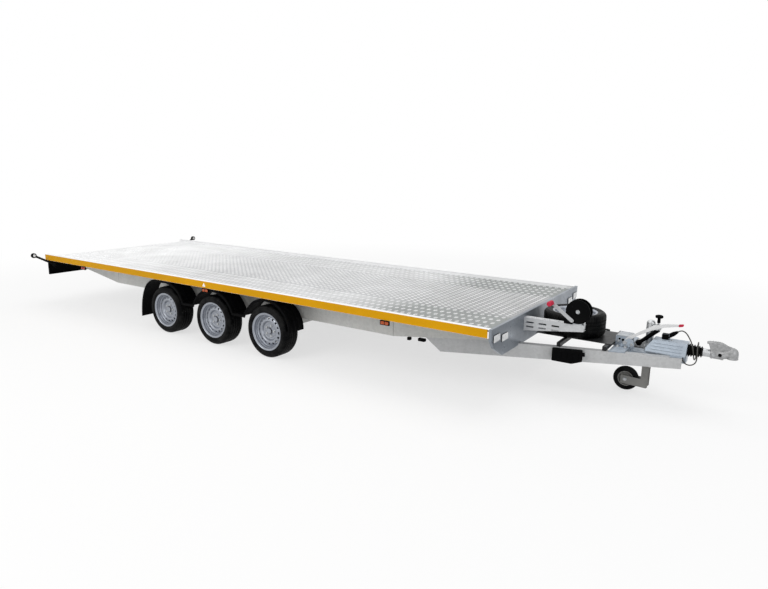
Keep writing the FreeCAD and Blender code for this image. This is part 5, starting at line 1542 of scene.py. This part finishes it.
@dataclass
class Overrun:
    """Overrun gear: pressed beads on the housing, its bracket's bolts, the bellows and its bands."""

    rear: float = 3.175
    front: float = 3.460
    half_top: float = 0.055
    half_low: float = 0.118
    top: float = 0.500
    low: float = 0.416
    bead_shares: tuple[float, ...] = (0.22, 0.48, 0.74)
    bead_sink: float = 0.0025
    bracket_rear: float = 2.942
    bracket_front: float = 3.054
    bracket_half: float = 0.075
    bracket_top: float = 0.490
    bracket_hole_shade: tuple[Point, ...] = ((0.030, 0.468, 0.008), (0.056, 0.462, 0.010), (0.080, 0.470, 0.008))
    bellows_start: float = 3.4603
    bellows_long: float = 0.105
    axis: float = 0.445
    folds: int = 6
    ridge: Pair = (0.052, 0.042)
    valley_drop: float = 0.013
    bore: float = 0.0305
    holder: Point = (3.271, 0.020, 0.045)

    def build(self) -> None:
        """Beads, edge strips, bolts, cover plate, plug holder's boot and bellows."""
        self.beads()
        self.fasteners()
        x0, x1, top = self.bracket_rear + 0.004, self.bracket_front - 0.004, self.bracket_top
        plate = slab(rectangle((x0, -0.070), (x1, 0.070)), top, top + 0.006, Along.Z, 0.001, 0.006)
        for y in np.arange(6) * 0.022 - 0.055:
            plate.join(bead((x0 + 0.010, y, top + 0.006), (x1 - 0.010, y, top + 0.006), 0.0045, 10, 5, 0.4,
                            0.25))
        add_piece("bracket_cover", plate, GALVANISED)
        # The bracket's holes: near-black discs of painted shade.
        holes = Shape()
        for x, z, radius in self.bracket_hole_shade:
            centre = (self.bracket_rear + x, self.bracket_half + 0.0002, z)
            holes.join(disc(radius, 0.0, 0.0007, Along.Y, centre, 0.0002, 20))
        add_piece("bracket_hole_shade", holes.both(), HOLE_SHADE)
        x, half, tall = self.holder
        add_piece("plug_holder_boot", brick(
            (x - 0.0012, -half - 0.0012, self.top + 0.0005),
            (x + 0.0522, half + 0.0012, self.top + tall + 0.0012), 0.003, 0.006, Along.Y), MOULDING)
        self.bellows()

    def beads(self) -> None:
        """Three beads down each flank, two on top, and a strip at each lower front corner."""
        wide, drop = self.half_low - self.half_top, self.top - self.low
        lean = math.atan2(drop, wide)
        beads = Shape()
        for share in self.bead_shares:
            y = self.half_top + wide * share - math.sin(lean) * self.bead_sink
            z = self.top - drop * share - math.cos(lean) * self.bead_sink
            beads.join(bead((self.rear + 0.045 - 0.03 * share, y, z), (self.front - 0.018, y, z), 0.0075, 14,
                            13, 0.25, 0.06))
        z = self.top - 0.0035
        beads.join(bead((self.rear + 0.07, 0.030, z), (self.front - 0.02, 0.030, z), 0.007, 12, 9, 0.4,
                        0.125))
        strip = rectangle((self.front - 0.006, self.half_top), (self.front, self.half_low + 0.002))
        beads.join(slab(strip, self.low - 0.008, self.low + 0.002, Along.Z, 0.001))
        add_piece("housing_beads", beads.both(), HOUSING_ZINC)

    def fasteners(self) -> None:
        """Bolts through the housing's foot and the bracket's sides, and two rivets on top."""
        front, bracket = self.front, self.bracket_rear
        heads = bolts([(x, y, self.low) for x, y in (
            (bracket + 0.03, 0.13), (self.bracket_front - 0.025, 0.12), (front - 0.085, 0.092),
            (front - 0.040, 0.085))], Along.Z, 0.021, 0.010)
        heads.join(bolts([(bracket + ahead, self.bracket_half, 0.448) for ahead in (0.022, 0.090)], Along.Y,
                         0.015, 0.007))
        rivets = domes([(front - 0.12, 0.0, self.top), (self.rear + 0.10, 0.02, self.top)], Along.Z, 0.008,
                       0.007)
        add_piece("overrun_bolts", heads.both().join(rivets), BRIGHT_ZINC)

    def bellows(self) -> None:
        """Folds whose radius swings as a cosine between ridge and valley, narrowing to the front."""
        first, last = self.ridge
        share = np.linspace(0, 1, self.folds * 10 + 1)
        wave = 0.5 - 0.5 * np.cos(share * self.folds * 2 * math.pi)
        radius = first + (last - first) * share - self.valley_drop * (1 - wave ** 0.8)
        cuff = np.concatenate([[self.bore, first - 0.012], radius, [last - 0.012, self.bore]])
        height = np.concatenate([[0.0, 0.0], 0.002 + share * (self.bellows_long - 0.004),
                                 [self.bellows_long] * 2])
        skin = lathe(np.stack([cuff, height], -1), Along.X, (self.bellows_start, 0, self.axis), 56,
                     closed=True)
        add_piece("bellows_folds", skin, RUBBER, "bellows", smooth=50)


@dataclass
class Coupling:
    """Cast coupling head: collar, tapering neck, round nose over the ball, and its closing handle."""

    collar_rear: float = 3.6155
    collar_front: float = 3.7055
    nose: float = 3.7585
    low: float = 0.425
    high: float = 0.512
    axis: float = 0.445
    socket: float = 0.0254
    socket_top: float = 0.465
    button_back: float = 0.078
    ribs: int = 7

    def build(self) -> None:
        """Body, handle, bolts and the wear indicator's button."""
        body = lathe(mm((25.3, 0), (32, 0), (37, 4), (38, 10), (35.5, 14), (35.5, 70), (38, 76), (36, 88),
                        (0, 90)),
                     Along.X, (self.collar_rear, 0, self.axis), 56)
        body.join(self.neck())
        drop = self.high - self.low
        body.join(lathe([(self.socket, self.socket_top - self.low), (self.socket, 0.0), *mm(
            (35, 0), (41, 3), (42, 7), (40, 12), (40.5, 40), (38, 58), (31, 72)), *mm(
                (20, -6), (10, -1), (0, 0), base=(0, drop))], Along.Z, (self.nose, 0, self.low), 64))
        top = self.socket_top
        body.join(lathe([(self.socket, top), (self.socket * 0.8, top + 0.004), (0, top + 0.006)], Along.Z,
                        (self.nose, 0, 0), 48))
        add_piece("coupling_casting", body, CASTING, "coupling_head", smooth=45)
        self.handle()
        heads = bolts([(self.collar_rear + 0.022, 0.035, self.axis)], Along.Y, 0.018, 0.008)
        add_piece("coupling_bolts", heads.both(), BRIGHT_ZINC)
        button = lathe(mm((0, 42.5), (9, 42.5), (11.8, 41.5), (12.5, 39.5), (12.5, 30)), Along.Y,
                       (self.nose - self.button_back, 0, self.axis + 0.006), 28)
        add_piece("coupling_button", button.both(), BLACK_PAINT, slot="cast_dark")

    def neck(self) -> Shape:
        """Sections across the neck, each a rounded rectangle whose corners follow |y/a|^n + |z/b|^n = 1."""
        stations = (
            # X, half width, low, high, n
            (3.668, 0.037, 0.410, 0.480, 2.3), (3.690, 0.036, 0.414, 0.482, 2.8),
            (3.712, 0.035, 0.422, 0.488, 3.4),
            (3.735, 0.036, 0.428, 0.498, 3.2), (3.752, 0.036, 0.430, 0.503, 2.8),
            (3.764, 0.030, 0.434, 0.500, 2.4))
        c, s = circle(1, 40).T
        rings = []
        for x, half, low, high, power in stations:
            y = np.sign(c) * np.abs(c) ** (2 / power) * half
            z = (low + high) / 2 + np.sign(s) * np.abs(s) ** (2 / power) * (high - low) / 2
            rings.append(np.stack([np.full(len(c), x), y, z], -1))
        return surface(np.stack(rings), wrap_columns=True, caps=True)

    def handle(self) -> None:
        """Closing handle over the head: a pressed strap that rises backwards, ribbed on top."""
        rear = self.collar_rear
        path = [(self.nose - 0.006, 0.509), (self.nose - 0.030, 0.513), (self.collar_front + 0.006, 0.5205)]
        path += mm((72, 532), (46, 536), (16, 536), (-18, 534), (-30, 529), base=(rear, 0))
        route = flowing([(x, 0, z) for x, z in path])
        half = np.interp(np.linspace(0, 1, len(route)), [0, 0.15, 0.5, 0.9, 1],
                         [0.014, 0.022, 0.0260, 0.025, 0.020])
        side, up = frames_along(route)
        # The strap's section: shares of its half width, and heights.
        flat = np.array([(-1, -0.004), (-0.9, 0.002), (-0.5, 0.0045), (0.5, 0.0045), (0.9, 0.002),
                         (1, -0.004),
                         (0.94, -0.010), (0.86, -0.004), (0.4, 0.0), (-0.4, 0.0), (-0.86, -0.004),
                         (-0.94, -0.010)])
        grid = (route[:, None] + flat[None, :, :1] * half[:, None, None] * side[:, None]
                + flat[None, :, 1:] * np.where(up[:, None, 2:] < 0, -1, 1) * up[:, None])
        strap = surface(grid, wrap_columns=True, caps=True)
        for x, _, z in route[14::4][:self.ribs]:
            strap.join(brick((x - 0.0022, -0.016, z + 0.002), (x + 0.0022, 0.016, z + 0.0065), 0.0012))
        low = self.axis + 0.020
        skirt = slab([(rear + 0.006, low - 0.004), (self.nose - 0.020, low + 0.010),
                      (self.nose - 0.018, 0.506),
                      (self.collar_front + 0.004, 0.519), (rear + 0.050, 0.533), (rear + 0.010, 0.534),
                      (rear - 0.020, 0.531), (rear - 0.004, low + 0.018)], 0.0195, 0.024, Along.Y, 0.001,
                      0.006)
        add_piece("coupling_handle", strap.join(skirt.both()), CASTING)


@dataclass
class Handbrake:
    """Handbrake lever: a flat strap bent up and forward on a toothed quadrant, red at its tip.

    The outlines are in millimetres from the bracket's rear and its foot.
    """

    start: float = 2.942
    foot: float = 0.416
    near: float = -0.104
    far: float = -0.092
    pivot: Pair = (78, 34)
    stop: Pair = (130, 26)
    lever: tuple[Pair, ...] = (
        (72, 0.3), (112, 0.3), (114, 62), (166, 104), (267, 163), (345, 198), (440, 219), (440, 238),
        (356, 228), (272, 200), (190, 146), (85, 75), (72, 56))
    tip: tuple[Pair, ...] = ((448, 217), (482, 226), (483, 245), (448, 239))
    shank: tuple[Pair, ...] = ((436, 219), (452, 221), (452, 237), (436, 236))
    quadrant: tuple[Pair, ...] = ((34, 2), (142, 2), (152, 24), (138, 62), (108, 78), (64, 44))

    def build(self) -> None:
        """Lever, quadrant, tip and pins."""
        base, near, far = (self.start, self.foot), self.near, self.far
        table = (
            # name, finish, outline, low, high, edge, corner, steps, nodes
            ("strap", LEVER_ZINC, self.lever, near, far, 0.0016, 0.010, 4, ("handbrake_lever",)),
            ("tip", RED_GRIP, self.tip, near - 0.001, far + 0.001, 0.003, 0.008, 4, ()),
            ("shank", LEVER_ZINC, self.shank, near + 0.002, far - 0.002, 0.001, 0.004, 3, ()),
            ("quadrant", HOUSING_ZINC, self.quadrant, near - 0.006, near - 0.0005, 0.001, 0.012, 5, ()),
        )
        for name, finish, outline, low, high, edge, corner, steps, nodes in table:
            shape = slab(mm(*outline, base=base), low, high, Along.Y, edge, corner, steps)
            add_piece(f"handbrake_{name}", shape, finish, *nodes)
        (x, z), (stop_x, stop_z) = mm(self.pivot, self.stop, base=base)
        pins = bolts([(x, near - 0.006, z)], Along.Y, 0.024, 0.010, -1)
        pins.join(bolts([(stop_x, near - 0.006, stop_z)], Along.Y, 0.015, 0.007, -1))
        pins.join(disc(0.010, 0.0, 0.019, Along.Y, (x, -0.0935, z)))
        add_piece("handbrake_pins", pins, BRIGHT_ZINC)


@dataclass
class Jockey:
    """Jockey wheel: clamp and crank head on the tube, sliding leg, trailing fork and its small wheel."""

    x: float = 3.165
    y: float = 0.095
    wheel: Point = (3.016, 0.095, 0.100)
    top: float = 0.545
    knob: Point = (3.220, 0.095, 0.645)
    knob_lobes: int = 8
    handle_root: Point = (3.235, 0.045, 0.557)
    handle_along: Point = (-0.731, 0.0, -0.682)
    handle_long: float = 0.213
    handle: tuple[Pair, ...] = ((0, 15), (4, 16.5), (100, 16.5), (150, 15), (166, 14), (172, 18),
                                (180, 22.5), (190, 25.5), (200, 23), (208, 16), (212, 8.5), (213, 2))

    def build(self) -> None:
        """Everything on the tube, then the wheel."""
        self.crank()
        self.grips()
        self.small_wheel()
        x, y = self.x, self.y
        bands = Shape()
        for z in (0.3945, 0.4025):
            bands.join(disc(0.0345, 0.0, 0.004, Along.Z, (x, y, z), 0.001, 40))
        bands.join(lathe(mm((30.5, 0), (34, 0), (34, 12), (30.5, 14)), Along.Z, (x, y, 0.346), 40))
        bands.join(lathe(mm((30.5, 0), (33, 2), (33, 10), (30.5, 12)), Along.Z, (x, y, 0.532), 40))
        add_piece("jockey_bands", bands, BRIGHT_ZINC)
        x -= 0.004
        clamp = bolts([(x, y + 0.030, 0.410)], Along.Y, 0.019, 0.010)
        clamp.join(pipe([(x, y + 0.034, 0.410), (x, y + 0.052, 0.410), (x, y + 0.060, 0.425),
                         (x, y + 0.060, 0.470)],
                        0.006))
        add_piece("jockey_clamp_lever", clamp, BRIGHT_ZINC)

    def crank(self) -> None:
        """Silver head with its gear lug."""
        head = lathe(mm((0, 0), (34, 0), (34, 4), (32.5, 8), (32.5, 52), (30, 60), (22, 68), (10, 71.5),
                        (0, 72)),
                     Along.Z, (self.x, self.y, self.top), 40)
        head.join(brick((3.187, 0.035, 0.549), (3.247, 0.105, 0.589), 0.004, 0.009, Along.Y))
        head.join(disc(0.017, 0.0, 0.010, Along.Y, (3.222, 0.026, 0.570), 0.002))
        head.join(disc(0.0075, -0.058, -0.040, Along.Z, self.knob, 0.001))
        head.join(bolts([(3.205, 0.034, 0.570)], Along.Y, 0.014, 0.006, -1))
        add_piece("jockey_crank_head", head, BRIGHT_ZINC, "jockey_crank")

    def grips(self) -> None:
        """Dark fluted knob, and the folded-down handle with its ball."""
        angle = np.linspace(0, 2 * math.pi, self.knob_lobes * 8, endpoint=False)
        flute = 0.09 * (0.5 - 0.5 * np.cos(angle * self.knob_lobes)) ** 2
        rows = []
        # Radius and height in millimetres, and how much of the flutes shows there.
        for r, h, share in ((0, -44, 0), (12.5, -44, 0), (11.5, -12, 0), (15, -6, 0.3), (27, -3, 1),
                            (29.5, 1, 1),
                            (29.8, 10, 1), (28, 15.5, 1), (19, 19, 0.5), (8, 20.5, 0), (0, 20.8, 0)):
            radius = r / 1000 * (1 - share * flute)
            rows.append(np.stack([radius * np.cos(angle), radius * np.sin(angle), 0 * angle + h / 1000], -1))
        knob = surface(placed(np.stack(rows), Along.Z, self.knob), wrap_columns=True)
        share = np.linspace(0, 1, 41)
        along = np.array(self.handle_along) / np.linalg.norm(self.handle_along)
        path = np.array(self.handle_root) + share[:, None] * along * self.handle_long
        size = np.interp(share * self.handle_long, *np.array(mm(*self.handle)).T)
        add_piece("jockey_grips", knob.join(carried(circle(1.0, 24), path, size)), MOULDING)

    def small_wheel(self) -> None:
        """Solid rubber tyre with a rounded tread, a pressed rim with a square boss, and the fork's bolts."""
        tyre = there_and_back(mm((62.3, -21), (66, -24), (78, -25), (80, -23.5), (82, -25), (88, -24.5),
                                 (95, -21), (98.5, -15), (100, -7), (98, -5.5), (98, -3.5), (100, -2)))
        add_piece("jockey_tyre_rubber", lathe(tyre, Along.Y, self.wheel, 80, closed=True), TYRE,
                  "jockey_tyre", body="jockey_wheel")
        section = there_and_back(mm((11, 27), (17, 27), (18.5, 24), (19.5, 9), (24, 6.5), (42, 6), (48, 8),
                                    (53, 15), (55.5, 22.5), (59, 24), (61.8, 23.2)))
        rim = lathe(section, Along.Y, self.wheel, 64, closed=True)
        x, y, z = self.wheel
        nuts = Shape()
        for low, high, outward in ((y - 0.016, y - 0.006, -1), (y + 0.006, y + 0.016, 1)):
            rim.join(slab(around((x, z), (0.026, 0.026)), low, high, Along.Y, 0.002, 0.008))
            nuts.join(bolts([(x, y + outward * 0.043, z)], Along.Y, 0.022, 0.009, outward))
        add_piece("jockey_wheel_disc", rim, GREY_PAINT, "jockey_rim", body="jockey_wheel")
        add_piece("jockey_axle_nuts", nuts, BRIGHT_ZINC, body="jockey_fork")


@dataclass
class Chocks:
    """Folded wheel chocks parked on the drawbar, each a ribbed moulding."""

    bend: float = 1.2895
    half: float = 0.800
    slope: float = 0.30153
    start: float = 1.311
    long: float = 0.230
    low: float = 0.316
    top: float = 0.406
    thick: float = 0.068
    tab: float = 0.018
    gap: float = 0.001
    ribs: int = 5
    rib_pitch: float = 0.042

    def matrix(self) -> Matrix:
        """From the beam's own X along its outer face, Y inwards, to the frame."""
        angle = math.atan(self.slope)
        out = Vector((self.bend + self.gap * math.sin(angle), -self.half - self.gap * math.cos(angle), 0))
        return Matrix.Translation(out) @ Matrix.Rotation(angle, 4, "Z")

    def build(self) -> None:
        """Body, ribs and tab of both."""
        a, b, face, top = self.start, self.start + self.long, -self.thick, self.top
        outline = [(a, self.low), (a + self.long * 0.66, self.low - 0.014), (b, self.low + 0.010), (b, top),
                   (a, top)]
        body = slab(outline, face, 0, Along.Y, 0.003, 0.008)
        body.join(brick((b - 0.004, face + 0.012, top - 0.040), (b + self.tab, -0.014, top - 0.018), 0.002,
                        0.005, Along.Y))
        for x in a + 0.030 + np.arange(self.ribs) * self.rib_pitch:
            body.join(brick((x, face, self.low + 0.014), (x + 0.005, face + 0.004, top - 0.012), 0.001))
        add_piece("chock_mouldings", Shape().join(body, self.matrix()).both(), MOULDING, "wheel_chocks")


@dataclass
class Lead:
    """The seven-core lead: hangs in a loop, winds once round the bellows and rises to its parked plug."""

    radius: float = 0.0045
    front: float = 3.46
    axis_height: float = 0.445
    wrap_radius: float = 0.07
    wrap_steps: int = 12
    wrap_pitch: float = 0.024
    wrap_start: float = -160.0
    wrap_front: float = 0.074
    plug_lean: float = 36.0
    plug_long: float = 0.110
    plug_back: float = 0.172
    plug_height: float = 0.508
    exit_run: float = 0.020
    loop: tuple[Point, ...] = ((-0.023, -0.073, 0.408), (-0.023, -0.073, 0.383), (-0.010, -0.074, 0.360),
                               (0.012, -0.075, 0.347), (0.038, -0.075, 0.347), (0.061, -0.074, 0.360),
                               (0.074, -0.070, 0.383))
    tail: tuple[Point, ...] = ((0.044, -0.068, 0.458), (0.035, -0.060, 0.492), (0.022, -0.046, 0.521),
                               (0.003, -0.031, 0.548), (-0.018, -0.016, 0.573), (-0.042, -0.005, 0.587))

    def route(self) -> list[Point]:
        """Control points, in order: the loop, one turn round the bellows, the rise to the plug."""
        points = [(self.front + x, y, z) for x, y, z in self.loop]
        for i in range(self.wrap_steps + 1):
            angle = math.radians(self.wrap_start - 360 * i / self.wrap_steps)
            points.append((self.front + self.wrap_front - self.wrap_pitch * i / self.wrap_steps,
                           self.wrap_radius * math.cos(angle),
                           self.axis_height + self.wrap_radius * math.sin(angle)))
        points += [(self.front + x, y, z) for x, y, z in self.tail]
        along = Vector((math.cos(math.radians(self.plug_lean)), 0, math.sin(math.radians(self.plug_lean))))
        mouth = Vector((self.front - self.plug_back, 0, self.plug_height)) + along * self.plug_long
        return points + [tuple(mouth + along * self.exit_run), tuple(mouth)]

    def build(self) -> None:
        """The lead as one open spline."""
        route = self.route()
        data = bpy.data.curves.new("lead_cable", "CURVE")
        data.dimensions = "3D"
        data.bevel_depth = self.radius
        data.bevel_resolution = 5
        data.resolution_u = 8
        data.use_fill_caps = True
        spline = data.splines.new("NURBS")
        spline.points.add(len(route) - 1)
        for point, place in zip(spline.points, route):
            point.co = (*place, 1)
        spline.order_u = 3
        spline.use_endpoint_u = True
        data.materials.append(CABLE.material())
        cable = bpy.data.objects.new("lead_cable", data)
        bpy.context.scene.collection.objects.link(cable)
        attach(cable, "chassis")
        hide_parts("lead")
        log.info("lead: %d control points", len(route))


def paint_frame() -> None:
    """Finish of every CAD node that stays as it is."""
    hubs = tuple(f"hub_drum_{axle.value}_{side.label}" for axle in Axle for side in Side)
    table = (
        (MIDDLE_PLATE, ("deck_floor_middle",)),
        (LANE_PLATE, ("deck_lanes",)),
        (RAIL_WHITE, ("side_rail_right", "side_rail_left")),
        (BEAM_GREY, ("cross_beams", "main_beam_right", "main_beam_left", "axle_rear", "axle_middle",
                     "axle_front")),
        (BAR_GREY, ("drawbar_beam_right", "drawbar_beam_left")),
        (PRESSED_ZINC, ("front_end_plate",)),
        (SUPPORT_ZINC, ("winch_support",)),
        (GALVANISED, ("winch_frame",)),
        (HOUSING_ZINC, ("overrun_housing",)),
        (BRIGHT_ZINC, ("winch_drum", "coupling_shaft", "jockey_tube", "jockey_leg")),
        # The rear panel's black is painted shade: its face is seen in shadow under the deck.
        (MOULDING, ("rear_panel", "plug")),
        (GREY_PAINT, ("jockey_fork",)),
        (CARRIER_BLACK, ("spare_carrier",)),
        (CAST_DARK, hubs),
    )
    for finish, names in table:
        for name in names:
            materials = bpy.data.objects[name].data.materials
            materials.clear()
            materials.append(finish.material())
            log.info("%s: kept, %s", name, finish.name)


def main() -> None:
    """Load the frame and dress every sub-assembly."""
    logging.basicConfig(level=logging.INFO, format="%(name)s: %(message)s")
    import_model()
    bpy.context.scene.view_settings.view_transform = "Standard"
    Studio().build()
    paint_frame()
    for assembly in (Deck(), RoadWheels(), Mudguards(), FrontEnd(), RearEnd(), Winch(), Spare(), Overrun(),
                     Coupling(), Handbrake(), Jockey(), Chocks(), Lead()):
        assembly.build()


if __name__ == "__main__":
    main()
